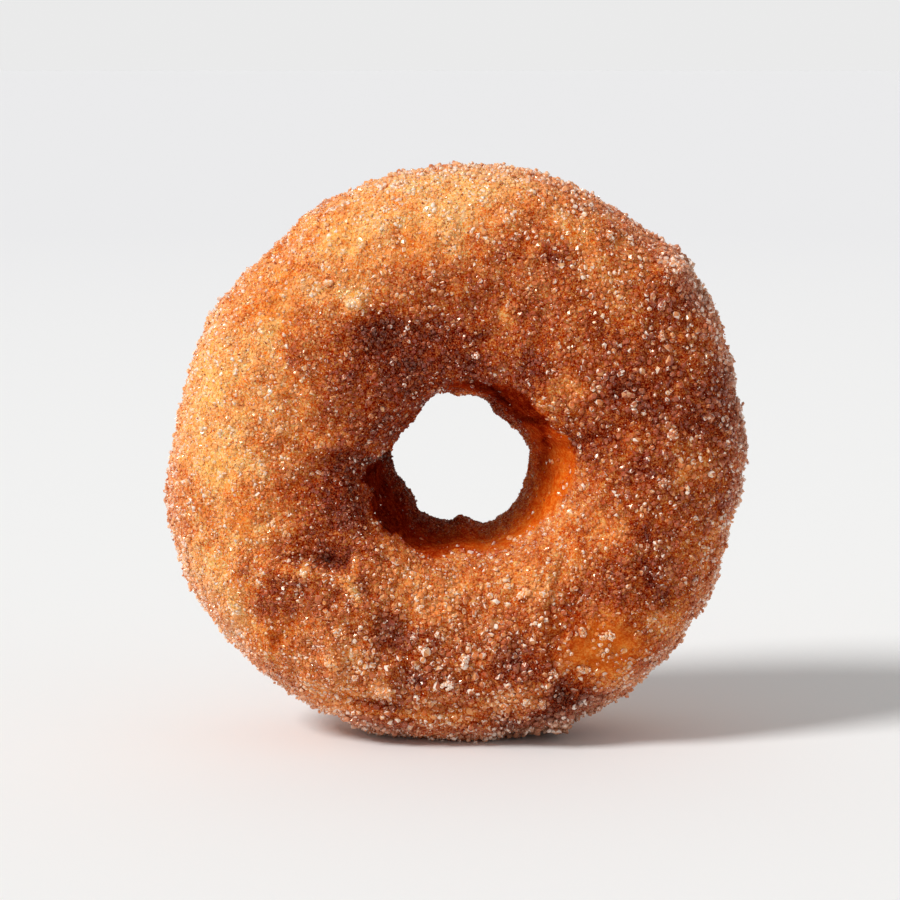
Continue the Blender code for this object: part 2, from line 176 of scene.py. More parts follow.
# Lines in the dough of the front and the hole's wall: path, half width, depth, and how much browner. That
# last is painted shade along the sunk lines, such as under the flap and over the torn ridge, and painted
# highlight along the raised ones
LINES = (
    (((1.2, 53.1), (3.3, 52.3), (5, 51.9), (6.8, 49.8), (8, 48.4), (9.3, 47)), 0.55, 0.5, 0.2),
    (((10.4, 47.4), (11.9, 46.9), (13, 42.9), (12.5, 41.2), (11.7, 39.4)), 0.6, 0.5, 0.2),
    (((0, 50.7), (1.6, 50.9), (3.2, 50.5)), 0.45, -0.2, -0.35),
    (((-9.8, 41), (-12.5, 41.9), (-13.7, 41.5)), 0.5, 0.5, 0.5),
    (((11.5, 71), (15.5, 70.2)), 0.6, 0.2, 0.15),
    (((24.3, 40.7), (27.5, 40.2)), 0.5, 0.2, 0.12),
    (((-14.6, 6.8), (-11, 6.3), (-8, 6)), 0.6, 0.3, 0.2),
    (((-15.5, 5.9), (-6, 4.8), (0, 4.6)), 0.7, -0.2, -0.12),
    (((-14.4, 28.5), (-14.2, 23.6)), 0.6, -0.2, -0.35),
    (((-24, 28.4), (-21, 28.6), (-18.2, 28.2), (-15.8, 27.6)), 1.1, 0.5, 0.15),
    (((-24.5, 26.3), (-21.5, 26.4), (-18.5, 25.9), (-15.6, 25.2), (-13.8, 22.8)), 0.9, -0.3, -0.25),
    (((33, 70), (34.4, 67.6), (35.4, 64.6)), 0.8, 0.4, 0.7),
)

# How brown the frying left the front, with some places of painted shade: across, up, reach, and 0 for
# golden to 1 for dark brown
BROWNING = (
    # the golden upper left
    (-34, 52, 7, 0.04), (-33, 42, 6, 0), (-22, 67, 5.5, 0.14), (-12, 74, 6, 0.04), (-20, 62, 2.5, 0.48),
    (0, 79, 6, -0.06), (-30, 32, 5, 0.2), (-30, 40, 3, 0.02), (-33, 19, 4, 0.12),
    (-30, 26.5, 2.5, 0.42), (-25, 46, 4.5, 0.38), (-21, 57, 3, 0.42), (-39, 36, 4, 0.3),
    (-25, 37, 4, 0.46), (-26, 53, 3.5, 0.1), (-35, 27, 3.5, 0), (-16, 37, 3, 0.85),
    # the browned dimple over the hole and the brown round it
    (-9, 57, 5, 0.88), (-14, 50, 4, 0.62), (-16, 56.5, 2.5, 0.56), (-1, 56, 5, 0.84),
    (5, 63, 5.5, 0.54), (8, 71, 4, 0.44), (15, 69.5, 2.5, 0.58), (-6, 68, 4, 0.48), (9, 54, 3.5, 0.74),
    (14.5, 52, 2.4, 0.26), (17, 46.5, 2.5, 0.7),
    # the brown right side with its lighter places
    (15, 76, 4, 0.32), (4.5, 76, 3, 0.3), (21, 68, 4, 0.36), (32, 65, 4, 0.66), (25, 53, 4.5, 0.7),
    (15, 61, 4, 0.5), (21, 59, 3.5, 0.62), (37.5, 48, 4, 0.84), (26, 40, 4, 0.64), (34, 36, 3.5, 0.54),
    (39, 37, 2.5, 0.7), (33.5, 42.5, 2.2, 0.4), (27, 26, 4, 0.7), (29, 17.5, 2.5, 0.3),
    (35, 26, 4, 0.48), (16, 21, 2.5, 0.64), (20.5, 27, 3, 0.62),
    # under the hole
    (18, 33, 4, 0.34), (12, 27, 4, 0.28), (-3, 23, 4, 0.2), (3, 19, 4, 0.44), (-4.5, 26.6, 2, 0.48),
    (6.2, 25, 2.5, 0.38), (14.9, 28.7, 2, 0.34),
    # the low left with its torn ridge, and the crust
    (-20, 28, 4, 0.64), (-26, 23, 3.4, 0.58), (-23, 15, 4.5, 0.36), (-15, 13, 3, 0.42),
    (-8.5, 16, 3, 0.6), (8.5, 13, 3, 0.76), (0, 8, 4, 0.48), (-18, 8, 4, 0.26), (9.4, 7.5, 2.5, 0.26),
    # The places at (12, 2) and (-12, 3.5), at the foot next to the floor, are painted shade of the contact
    # shadow
    (12, 2, 3.5, 1), (-4, 13, 3, 0.66), (-12, 3.5, 3, 0.7), (-15.5, 41.5, 2, 0.8), (-10.5, 47, 2, 0.92),
    (17, 5.5, 3.5, 0.84), (21, 14.5, 4.5, 0.3), (29, 13, 3.5, 0.5),
)
# Small spots of the front that are browner or paler than what is round them: across, up, reach, how much
SPOT_SHARE = 0.6
SPOTS = (
    # the golden upper left, the dimple and the top
    (-31.5, 62.5, 1.3, 0.2), (-28.6, 60.6, 1, 0.3), (-17.6, 63.6, 1.4, 0.35), (-14, 69.3, 1.5, 0.35),
    (-20.5, 72.6, 1.5, 0.15), (-16.5, 76.8, 1.5, 0.15), (-26.2, 53.8, 1.2, 0.25),
    (-22.3, 56.5, 1.5, 0.3), (-14.4, 64.2, 1.3, -0.5), (-26, 58.8, 1.2, -0.2), (-24.2, 46.5, 1.2, -0.3),
    (-27, 41.5, 1.5, -0.15), (2, 73.3, 1.6, 0.3), (7.6, 71.2, 1.8, 0.35), (12.6, 71.3, 1.3, 0.3),
    (-3, 67, 1.8, 0.2), (1.8, 67.5, 2, 0.15), (-5.4, 63.4, 0.9, -0.35), (6.6, 62.2, 1.5, -0.25),
    # The spots at (-15, 41) and (-13.5, 44.3), under the flap at the hole's left, are painted shadow
    (8.8, 62.6, 0.9, 0.3), (-9, 60.5, 2.5, 0.15), (-2, 62.8, 1.2, -0.2), (-15, 41, 2, 0.3),
    (-13.5, 44.3, 0.8, 0.4),
    # the right side
    (23, 62.2, 2, -0.3), (18, 72.5, 3, -0.15), (12, 75.5, 2, -0.1), (23, 54.3, 1.6, 0.3),
    (22, 51.8, 2.2, 0.2), (27.2, 63.5, 1.5, 0.2), (29.6, 50.6, 1, 0.3), (32.6, 67.3, 1.8, 0.15),
    (30.9, 69.6, 1.2, -0.5), (28.5, 71, 1, -0.4), (20.8, 46.3, 2, 0.2), (26, 42.2, 1.6, 0.25),
    (31.3, 39.3, 1.6, -0.35), (27, 32, 1.8, 0.3), (30.5, 32.3, 1.4, 0.3), (27, 27, 1.5, 0.2),
    # low on the right and the crust
    (26.7, 17.5, 0.8, 0.3), (12.7, 17.5, 0.8, 0.35), (8.7, 15.4, 1.5, 0.2), (29, 22.8, 1, 0.2),
    (15.5, 7, 2.5, 0.3), (-9, 17, 2, 0.3), (-3.8, 16.8, 0.9, 0.3), (-5.8, 11.5, 1, 0.3),
    (1.5, 9.7, 1, 0.35), (7.2, 4.2, 1.2, 0.45), (-11.5, 12.8, 1.2, 0.2), (-13.8, 10.9, 0.8, 0.25),
    (-8, 8, 0.7, 0.3), (-10.5, 9.2, 1.8, -0.35), (-14.5, 14.5, 1.5, -0.3), (8.7, 23.8, 1.5, -0.3),
    # the torn ridge and the low left
    (-13.6, 25, 0.9, 0.35), (-18, 27.6, 1.4, 0.2), (-20, 28.3, 1.2, 0.15), (-21.5, 26.8, 0.9, -0.45),
    (-23.8, 27.2, 0.6, -0.3), (-15.5, 25.5, 1, -0.35), (-23.8, 25, 1.3, 0.25), (-25.5, 25.6, 1.2, 0.2),
    (-28.4, 25.4, 0.8, -0.4), (-32, 22.5, 1.5, -0.2), (-16.7, 18.5, 1.2, -0.35),
    (-18, 13.5, 1.2, -0.45), (-37.5, 37.5, 1.5, 0.2),
)
# How dark the hole's bare wall is painted, by clock angle: where the sugar ends, and deep in. It is brown
# crust with painted shade, darkest on the hole's left, whose wall faces away from the light
WALL_RIM = (
    (0, 0.34), (18, 0.4), (36, 0.78), (60, 0.84), (90, 0.74), (130, 0.74), (178, 0.94), (215, 0.92),
    (245, 0.72), (265, 0.54), (290, 0.42), (315, 0.36), (340, 0.3),
)
WALL_DEEP = (
    (0, 0.48), (18, 0.6), (60, 0.79), (90, 0.78), (130, 0.81), (178, 0.94), (215, 0.88), (245, 0.82),
    (265, 0.74), (290, 0.62), (315, 0.54), (340, 0.48),
)
RIM_WIDTH, DEEP_WIDTH = 1.2, 2.2  # the rim's colour holds for the first, and is gone after both
# Where little sugar lies on the golden crust: across, up and reach
THIN_SUGAR = (
    (-15.9, 73.7, 3), (-6.4, 73.7, 2.6), (-33.7, 53.2, 2.8), (-25.5, 62.5, 3), (-23.8, 67.2, 2.2),
    (-33.9, 41, 2.8), (-30, 33, 2.4), (-25.5, 17, 3),
)
# How coarse the sugar is: across, up, reach, and 0 for fine to 1 for coarse
COARSENESS = (
    (-31, 45, 10, 0.2), (-25, 65, 9, 0.25), (-3, 79, 7, 0.5), (-10, 55, 6, 0.45), (-17, 45, 5, 0.55),
    (5, 66, 6, 0.4), (19, 72, 6, 0.65), (31, 48, 10, 1), (33, 66, 6, 0.9), (19, 29, 5, 0.4),
    (29, 28, 6, 0.8), (-2, 12, 10, 1), (0, 24, 6, 0.6), (-26, 15, 7, 0.1), (-19, 26, 4, 0.7),
    (31, 16, 4, 0.3), (-37, 30, 7, 0.15), (18, 7, 5, 0.85),
)
# Far from every place of BROWNING and COARSENESS: the value there and its weight. Then the rear's value
BROWN_BETWEEN, REAR_BROWN = (0.5, 0.03), 0.42
COARSE_BETWEEN, REAR_COARSE, FINEST_SHARE = (0.4, 0.05), 0.4, 0.02
COLOUR_FADE, SUGAR_FADE = 6.0, 8.0  # over how much depth the front's colour and sugar turn into the rear's
# Layers of lumps in the browning and the coarseness: apart, how much, start
REAR_PATCHES = ((20.0, 0.6, 21.0), (9.0, 0.2, 22.0))
BROWN_SPECKLES = ((4.2, 0.16, 23.0), (1.9, 0.14, 24.0))
WALL_SPECKLES, COARSE_PATCHES = (1.6, 0.1, 25.0), (6.0, 0.45, 31.0)
# Patches of sugar: their level, the least, the most, and layers of lumps
BARE_HEAPS = (0.1, 0.0, 1.3, (2.4, 4.0, 33.0))
DENSE_PATCHES = (1.0, 0.4, 1.8, (5.0, 1.4, 36.0))
COARSE_HEAPS = (0.6, 0.1, 1.0, (2.6, 2.2, 34.0), (1.2, 1.4, 35.0))
HEAP_TOPS = (0.3, 0.0, 1.0, (2.6, 1.6, 34.0), (1.2, 1.0, 35.0))
CLEAN_PATCHES = (1.0, 0.4, 2.0, (1.8, 1.5, 37.0))

SUGAR_SEED = 7
EDGE_WIDTH = 0.4  # over which the sugar ends at the hole
THINNED = 0.75  # the share that is gone in the middle of a place of thin sugar
CRUMBS_LEAST, CRUMBS_MORE = 0.6, 0.5  # how tall crumbs are on bare dough, and more under sugar
COAT_LIMITS, HOLE_SUGAR = (0.06, 1.6), 0.02
BARE_FOOT = 0.15  # how high the foot has no sugar
BARE_LESS = 0.85  # the share of granulated and finer sugar that the bare patch lacks
WHITE, BROWN_LOSS, LEAST_WHITE = 1.7, 1.5, 0.3  # how much sugar stays clean, lost by brown, least
GRANULATED_LEVEL, FINE_LEVEL = 1.35, 1.4  # how much there is of each where no sugar is coarse
FINE_IN_HOLE, STAINED_IN_HOLE = 2.0, 2.5
# How many coarse crystals lie anywhere, more on the crust and the outer belt, and kept in brown places
COARSE_LEAST, COARSE_ON_CRUST, COARSE_ON_BELT, COARSE_KEPT = 0.2, 0.6, 0.5, 0.75
# How much larger they are where the sugar is coarse, least and besides, and on the crust, with the draws
COARSER, COARSEST, COARSER_DRAW = 0.2, 0.8, (1.0, 2.4)
CRUST_LARGER, CRUST_LARGER_DRAW = 0.35, (1.0, 1.6)
# How clean grains are: the draws, from where browning stains them and how far, and what they gain
CLEAN_DRAW, CRUST_CLEAN_DRAW, FACET_DRAW = (0.7, 1.1), (0.6, 1.2), (0.6, 0.9)
STAINED_FROM, STAINED_LIMITS = 0.25, (-0.05, 0.75)
CLEANER_IN_HOLE, CLEANER_ON_CRUST = 0.3, 0.7
# Crystals piled in a clump: the fewest, the share of one that lies inside, the least reach, how clean
FEWEST_PILED, PILED_IN, LEAST_PILE, PILED_CLEAN = 4, 0.4, 0.05, (0.5, 1.1)


def linear(code):
    """Turns an sRGB hex colour to linear."""
    shares = [int(code[i:i + 2], 16) / 255 for i in (1, 3, 5)]
    return np.array([s / 12.92 if s <= 0.04045 else ((s + 0.055) / 1.055) ** 2.4 for s in shares])


# The sugared crust from golden to dark brown, and past it darker still, where painted shade lies
CRUST_COLOURS = [
    linear(code) for code in ("#FEC076", "#EC9040", "#C25A1A", "#96310C", "#681C0A", "#451009")
]
DARK_BROWN, MOST_PAST_BROWN = 3.9, 1.12  # the colour of brown 1, and the most that the crust is painted past it with painted shade
# Crust without sugar is richer, from orange to nearly black; its dark end is painted shade on the hole's
# wall
BARE_COLOURS = [
    linear(code) for code in ("#FFA238", "#EE822C", "#C65A22", "#90300F", "#5A180A", "#360C06")
]
# The outer belt, which makes the outline, is painted pale: a painted sheen of sugar seen edge-on
BELT_SHEEN_COLOUR, BELT_SHEEN_SHARE, BELT_FROM, BELT_FADE = linear("#E9A880"), 0.5, 39.0, 3.0
SUGAR_COLOUR = linear("#FCECE1")
GLOW = np.array([0.17, 0.09, 0.035])  # white light that a half stained grain still sends back
CLEAR_FACETS, DULL_FACETS = (0.4, 1.9), (0.5, 1.3)  # a facet's cleanness by its grain's: least, and more
STAIN_LINE, HEIGHT_LIMITS = 0.75, (0.25, 1.0)  # how clean a facet is at the dough, and its limits
SEEN_THROUGH, STEEPER = 0.15, 2.0  # how clean a facet is that lies flat, and how much more if it is steep: steep facets are painted paler, a painted reflection at a clear crystal's rim
THINNEST, THICKEST = 0.5, 2.1  # powers of the crust's colour where its stained coat is thin and thick
DUSTED = 0.5  # and where sugar dust lies on it
BARE_POWER, BARE_UNEVEN = 1.3, 0.5  # and of bare dough, with the share of the coat's unevenness it has
LIGHTEST, DEEPEST = 0.01, 1.25  # and for a clean grain, and one that is stained through
WARMER = 0.05  # more for any grain on golden crust, which sends its own light through it
# How the glints are tinted: on clean sugar, and on sugar in more and more syrup
CLEAN_SHINE, SYRUP_SHINE = (1.0, 0.95, 0.9), (1.0, 0.84, 0.66)
WET_SHINE, STAINED_SHINE = (1.0, 0.7, 0.45), (1.0, 0.5, 0.22)

# The forms of grains: corners and faces. Blocks, fine chips, the finest splinters, and worn round crystals
BLOCK = (
    np.array([(x, y, z) for z in (-1, 1) for y in (-1, 1) for x in (-1, 1)]) * (0.5, 0.42, 0.36),
    np.array([
        (0, 2, 3), (0, 3, 1), (4, 5, 7), (4, 7, 6), (0, 1, 5), (0, 5, 4),
        (2, 6, 7), (2, 7, 3), (0, 4, 6), (0, 6, 2), (1, 3, 7), (1, 7, 5),
    ]),
)
CHIP = (
    np.array([(0.5, 0, 0), (-0.5, 0, 0), (0, 0.45, 0), (0, -0.45, 0), (0, 0, 0.4), (0, 0, -0.4)]),
    np.array([(0, 2, 4), (2, 1, 4), (1, 3, 4), (3, 0, 4), (2, 0, 5), (1, 2, 5), (3, 1, 5), (0, 3, 5)]),
)
SPLINTER = (
    np.array([(0.5, -0.3, -0.25), (-0.5, -0.3, -0.25), (0, 0.5, -0.25), (0, 0, 0.45)]),
    np.array([(0, 1, 3), (1, 2, 3), (2, 0, 3), (1, 0, 2)]),
)
LONG = (1 + math.sqrt(5)) / 2
CRYSTAL = (
    np.array([
        (-1, LONG, 0), (1, LONG, 0), (-1, -LONG, 0), (1, -LONG, 0), (0, -1, LONG), (0, 1, LONG),
        (0, -1, -LONG), (0, 1, -LONG), (LONG, 0, -1), (LONG, 0, 1), (-LONG, 0, -1), (-LONG, 0, 1),
    ]) * (0.5, 0.43, 0.37) / math.hypot(1, LONG),
    np.array([
        (0, 11, 5), (0, 5, 1), (0, 1, 7), (0, 7, 10), (0, 10, 11), (1, 5, 9), (5, 11, 4), (11, 10, 2),
        (10, 7, 6), (7, 1, 8), (3, 9, 4), (3, 4, 2), (3, 2, 6), (3, 6, 8), (3, 8, 9), (4, 9, 5),
        (2, 4, 11), (6, 2, 10), (8, 6, 7), (9, 8, 1),
    ]),
)
STRETCH = (0.75, 1.25)  # of each grain along each of its sides

# The kinds of grains. "shapes": how many of the form, and how far knocked out of true. The first, "worn",
# have no sharp edges. "clean": one share, or the least, the most and how much brown stains it. "lean": how
# far off upright. "out": how far a grain stands out of the dough, as a share of its size. "material": its
# name, roughness, shine and tint. "tried": how many places are drawn. Those with "room" stay, up to "most"
KINDS = {
    # worn faces with broad, soft glints. In the coarse places they grow up to 1.7 mm
    "coarse_sugar": {
        "form": CRYSTAL, "shapes": ((8, 0.06), (6, 0.11)), "worn": 4,
        "clean": (0.35, 1.6, 0.35), "lean": 0.6, "out": -0.14,
        "material": ("coarse sugar crystals, worn in the bag", 0.11, 0.5, SYRUP_SHINE),
        "tried": 17500, "room": 0.75, "most": 9300, "sizes": (0.48, 0.7),
    },
    # crushed: flat faces, some white and some as brown as the crust
    "granulated_sugar": {
        "form": BLOCK, "shapes": ((10, 0.1),), "worn": 4, "facets": DULL_FACETS,
        "clean": (0.0, 1.35, 1.2), "lean": 0.7, "out": -0.12,
        "material": ("granulated sugar, crushed", 0.14, 0.4, SYRUP_SHINE),
        "tried": 22000, "room": 0.72, "most": 16600, "sizes": (0.35, 0.6),
    },
    # wet with fat: a warm, dull sheen
    "fine_sugar": {
        "form": CHIP, "shapes": ((10, 0.12),), "worn": 10, "facets": DULL_FACETS,
        "clean": (0.0, 0.75, 1.3), "lean": 0.8, "out": 0.0,
        "material": ("fine sugar, wetted by the fat", 0.2, 0.45, WET_SHINE),
        "tried": 24500, "sizes": (0.22, 0.38),
    },
    # soaked through: nearly the crust's own brown, with a faint orange sheen
    "stained_sugar": {
        "form": SPLINTER, "shapes": ((10, 0.14),), "worn": 10,
        "clean": (0.0, 0.3, 1.2), "lean": 0.9, "out": 0.1,
        "material": ("fine sugar stained through by cinnamon and fat", 0.3, 0.3, STAINED_SHINE),
        "tried": 32000, "sizes": (0.24, 0.4),
    },
    # clean breaks: small white sparks
    "sugar_splinters": {
        "form": SPLINTER, "shapes": ((6, 0.12),), "clean": 1.1, "lean": 1.0, "out": 1.4,
        "material": ("clean splinters of sugar", 0.1, 0.5, CLEAN_SHINE),
        "tried": 9000, "sizes": (0.16, 0.27),
    },
    # dry, dark brown specks
    "cinnamon": {
        "form": SPLINTER, "shapes": ((6, 0.16),), "clean": 0.0, "lean": 0.5, "out": 0.4,
        "tried": 3800, "sizes": (0.18, 0.38), "slot": "cinnamon",
    },
    # stuck together while wet: pale knots with sharp glints
    "sugar_clumps": {
        "form": CRYSTAL, "shapes": ((10, 0.07),), "worn": 5, "lean": 0.5, "out": 0.0,
        "material": ("sugar crystals stuck together in clumps", 0.15, 0.5, CLEAN_SHINE),
    },
}


def closed_run(knots, sizes, period, at):
    """Reads a smooth closed run through sizes at knots, which never swings past them."""
    knots = np.asarray(knots, float)
    sizes = np.asarray(sizes, float)
    gap = np.diff(np.append(knots, knots[0] + period))
    wide = gap.reshape(-1, *[1] * (sizes.ndim - 1))
    slope = (np.roll(sizes, -1, axis=0) - sizes) / wide
    before = np.roll(slope, 1, axis=0)
    same_way = slope * before > 0
    tangent = np.where(same_way, 2 * slope * before / np.where(same_way, slope + before, 1), 0)
    at = (np.asarray(at, float) - knots[0]) % period + knots[0]
    i = np.searchsorted(knots, at, side="right") - 1
    j = (i + 1) % len(knots)
    shape = (-1, *[1] * (sizes.ndim - 1))
    t = ((at - knots[i]) / gap[i]).reshape(shape)
    h = gap[i].reshape(shape)
    return (
        sizes[i] * (1 + 2 * t) * (1 - t) ** 2
        + tangent[i] * h * t * (1 - t) ** 2
        + sizes[j] * t * t * (3 - 2 * t)
        - tangent[j] * h * t * t * (1 - t)
    )


def around(profile, clock):
    """A named profile's size at each clock angle in degrees."""
    angles, sizes = zip(*profile)
    return closed_run(angles, sizes, 360.0, np.ravel(clock)).reshape(np.shape(clock))


def section_rings(clock):
    """Each ring of the section at each clock angle: how far it is centred on the hole, reach, depth."""
    throat, lip = HOLE_REACH + around(THROAT, clock), around(FRONT_LIP, clock)
    throat_depth = around(THROAT_DEPTH, clock)
    reaches = {
        "outline": RING_REACH + around(OUTLINE, clock),
        "lip": lip,
        "wall": throat + WALL_SHARE * (lip - throat),
        "throat": throat,
        "back lip": around(BACK_LIP, clock),
    }
    depths = {
        "front": HALF_THICKNESS + around(FRONT_BULGE, clock),
        "wall": WALL_DEPTH[0] * throat_depth + WALL_DEPTH[1],
        "throat": throat_depth,
        "back": HALF_THICKNESS + around(BACK_BULGE, clock),
    }
    return np.array([
        (share + 0 * clock, reaches[reach] + added, depths[depth] * part)
        for _, share, reach, added, depth, part in SECTION
    ])


def smooth_ring(clock, over):
    """Points of the ring without its relief, as an array of over by clock by 3."""
    places = [ring[0] for ring in SECTION]
    rings = closed_run(places, section_rings(clock), SECTION_LENGTH, over)
    share, reach, depth = rings[:, 0], rings[:, 1], rings[:, 2]
    turn = np.radians(clock)
    across = share * HOLE_MIDDLE[0] + reach * np.cos(turn)
    up = STANDING_HEIGHT + share * (HOLE_MIDDLE[1] - STANDING_HEIGHT) + reach * np.sin(turn)
    return np.stack([across, depth, up], axis=-1)


def outward(points):
    """The outward direction at each point of a grid that closes both ways."""
    along = np.roll(points, -1, axis=1) - np.roll(points, 1, axis=1)
    over = np.roll(points, -1, axis=0) - np.roll(points, 1, axis=0)
    normal = np.cross(along, over)
    return normal / np.linalg.norm(normal, axis=-1, keepdims=True)


def ring_points(steps_round, steps_over, relief):
    """Points of the ring with its relief, flat where it stands on the floor."""
    over = [np.linspace(start, end, steps, endpoint=False) for start, end, steps in steps_over]
    points = smooth_ring(np.linspace(0, 360, steps_round, endpoint=False), np.concatenate(over))
    points = points + outward(points) * relief(points)[..., None]
    points[..., 2] = np.maximum(points[..., 2], 0.0)
    return points


def lumpy(points, *layers):
    """Smooth noise at each point, as layers of lumps: how far apart, how tall, and where they start."""
    total = np.zeros(points.shape[:-1])
    for apart, tall, start in layers:
        flat = points.reshape(-1, 3) / apart + start
        total += tall * np.array([noise.noise(Vector(p)) for p in flat]).reshape(total.shape)
    return total


def patchy(points, level, least, most, *layers):
    """Layers of lumps about a level, held between the least and the most."""
    return np.clip(level + lumpy(points, *layers), least, most)


def off_path(points, path):
    """How far across and up each point is from the nearest place of a path on the front."""
    off = np.full((*points.shape[:-1], 2), np.inf)
    spots = points[..., (0, 2)]
    for start, end in zip(np.array(path), np.array(path)[1:]):
        run = end - start
        share = np.clip((spots - start) @ run / (run @ run), 0, 1)
        this = spots - start - share[..., None] * run
        closer = np.hypot(this[..., 0], this[..., 1]) < np.hypot(off[..., 0], off[..., 1])
        off = np.where(closer[..., None], this, off)
    return off


def beside(off, reach):
    """1 on a path, and less the further off it a point is."""
    return np.exp(-(off**2).sum(axis=-1) / reach**2)


def near(points, middle, reach):
    """1 at a place as seen from the front, and less the further a point is from it."""
    return np.exp(-(((points[..., (0, 2)] - middle) / reach) ** 2).sum(axis=-1))


def share_within(points, middle, reach):
    """The same, but 0 on the rear."""
    return np.where(points[..., 1] < 0, near(points, middle, reach), 0)


def on_crust(points):
    """1 in the middle of the low crust, where the sugar is thick and coarse."""
    return share_within(points, CRUST_MIDDLE, CRUST_REACH)


def on_front(points, fade):
    """1 on the front and 0 on the rear, which turn into each other over a depth."""
    return np.clip(0.5 - points[..., 1] / fade, 0, 1)


def hole_wall(points):
    """1 on the hole's wall, falling to 0 past its lip."""
    reach = np.hypot(points[..., 0] - HOLE_MIDDLE[0], points[..., 2] - HOLE_MIDDLE[1])
    return np.clip((BARE_WALL - reach) / WALL_FADE, 0, 1)


def front_relief(points, sharpness):
    """How far the folds, pits, creases and torn edges stand out of the front at each point."""
    height = np.zeros(points.shape[:-1])
    for middle, reach, tip in MOUNDS:
        height += tip * near(points, middle, reach)
    for path, width, depth in CREASES:
        height -= depth * beside(off_path(points, path), width)
    for path, raised_way, tip, run_out in TORN_EDGES:
        off = off_path(points, path)
        raised = 0.5 + 0.5 * np.tanh(off @ np.array(raised_way) / sharpness)
        height += tip * raised * beside(off, run_out)
    return height * on_front(points, FRONT_FADE) * (1 - hole_wall(points))


def outside_sugar(points):
    """How thick the sugar is at each point outside the hole, 1 on most of the ring."""
    return (1 + CRUST_ROUGHER * on_crust(points)) * (1 - share_within(points, BARE_MIDDLE, BARE_REACH))


def bare_patch(points):
    """1 over the patch of the front that has hardly any sugar, falling to 0 round it."""
    return np.clip(BARER * share_within(points, BARE_MIDDLE, BARE_REACH), 0, 1)


def sugar_coat(points):
    """How thick the solid's sugar is at each point."""
    return outside_sugar(points) * (1 - hole_wall(points))


def solid_relief(points):
    """How far the solid stands out of the smooth ring at each point."""
    height = front_relief(points, EDGE_SHARPNESS) + lumpy(points, *LUMPS)
    return height + sugar_coat(points) * lumpy(points, SUGAR_LUMPS)


def round_hole(points):
    """Each point's clock angle and reach about the hole's middle, and whether it is behind the throat."""
    across, up = points[..., 0] - HOLE_MIDDLE[0], points[..., 2] - HOLE_MIDDLE[1]
    clock = np.degrees(np.arctan2(up, across)) % 360
    behind = points[..., 1] > around(THROAT_DEPTH, clock)
    return clock, np.hypot(across, up), behind


def past_sugar(points):
    """How far inside the sugar's edge round the hole each point is, in millimetres, or less than 0."""
    clock, reach, behind = round_hole(points)
    edge = np.where(behind, around(BACK_LIP, clock), around(SUGAR_EDGE, clock))
    return edge + lumpy(points, *EDGE_RAGGED) - reach


def sugared(points):
    """1 where the dough is sugared, 0 on the bare wall of the hole."""
    return np.clip(0.5 - past_sugar(points) / EDGE_WIDTH, 0, 1)


def thin_sugar(points):
    """The share of the golden crust's sugar that is left at each point."""
    left = np.ones(points.shape[:-1])
    for across, up, reach in THIN_SUGAR:
        left = left * (1 - THINNED * share_within(points, (across, up), reach))
    return left


def near_throat(points):
    """1 at the hole's narrowest place, falling to 0 up its bare wall."""
    clock, reach, _ = round_hole(points)
    up_wall = (reach - HOLE_REACH - around(THROAT, clock)) / THROAT_BAND
    return (1 - sugared(points)) * np.clip(1 - up_wall, 0, 1)


def lines(points, what):
    """The sum of the lines' depth (0) or darkening (1) at each point of the front. The darkening is
    painted shade in sunk lines and painted highlight on raised ones.
    """
    total = np.zeros(points.shape[:-1])
    for path, half_width, *amounts in LINES:
        total += amounts[what] * beside(off_path(points, path), half_width)
    return np.where(round_hole(points)[2] | (points[..., 1] > 0), 0, total)


def fine_relief(points):
    """How far the dough, without its grains, stands out of the smooth ring at each point."""
    height = front_relief(points, FINE_SHARPNESS) - SUGAR_DEPTH + lumpy(points, *LUMPS)
    height += (CRUMBS_LEAST + CRUMBS_MORE * sugar_coat(points)) * lumpy(points, *FINE_LUMPS)
    height += near_throat(points) * lumpy(points, THROAT_CRUMBS)
    return height - lines(points, 0)


def blended(points, table, base, weight):
    """Reads a table of places on the front, each with its reach and its value, blended where they meet."""
    total = np.full(points.shape[:-1], weight)
    value = total * base
    for across, up, reach, here in table:
        share = near(points, (across, up), reach)
        total = total + share
        value = value + share * here
    return value / total


def browned_with_painted_light(points):
    """How dark the crust is painted at each point: 0 for golden, 1 for dark brown, and more past it. It is
    browning, with painted shade in sunk lines, at the foot, under the flap and on the hole's wall, and
    painted highlight on raised lines.
    """
    front = on_front(points, COLOUR_FADE)
    rear = REAR_BROWN + lumpy(points, *REAR_PATCHES)
    level = front * blended(points, BROWNING, *BROWN_BETWEEN) + (1 - front) * rear
    level += lumpy(points, *BROWN_SPECKLES)
    for across, up, reach, more in SPOTS:
        level += front * SPOT_SHARE * more * near(points, (across, up), reach)
    clock = round_hole(points)[0]
    rim, deep = (around(table, clock) for table in (WALL_RIM, WALL_DEEP))
    wall = rim + (deep - rim) * np.clip((past_sugar(points) - RIM_WIDTH) / DEEP_WIDTH, 0, 1)
    wall += lumpy(points, WALL_SPECKLES)
    share = sugared(points)
    level = np.clip(level, 0, 1) * share + wall * (1 - share)
    # The lines add painted shade where they sink and painted highlight where they stand out
    return np.clip(level + lines(points, 1), 0, MOST_PAST_BROWN)


def outer_belt(points, start, fade):
    """1 on the outer belt, which makes the outline, falling to 0 inside it."""
    reach = np.hypot(points[..., 0], points[..., 2] - STANDING_HEIGHT)
    return np.clip((reach - start) / fade, 0, 1)


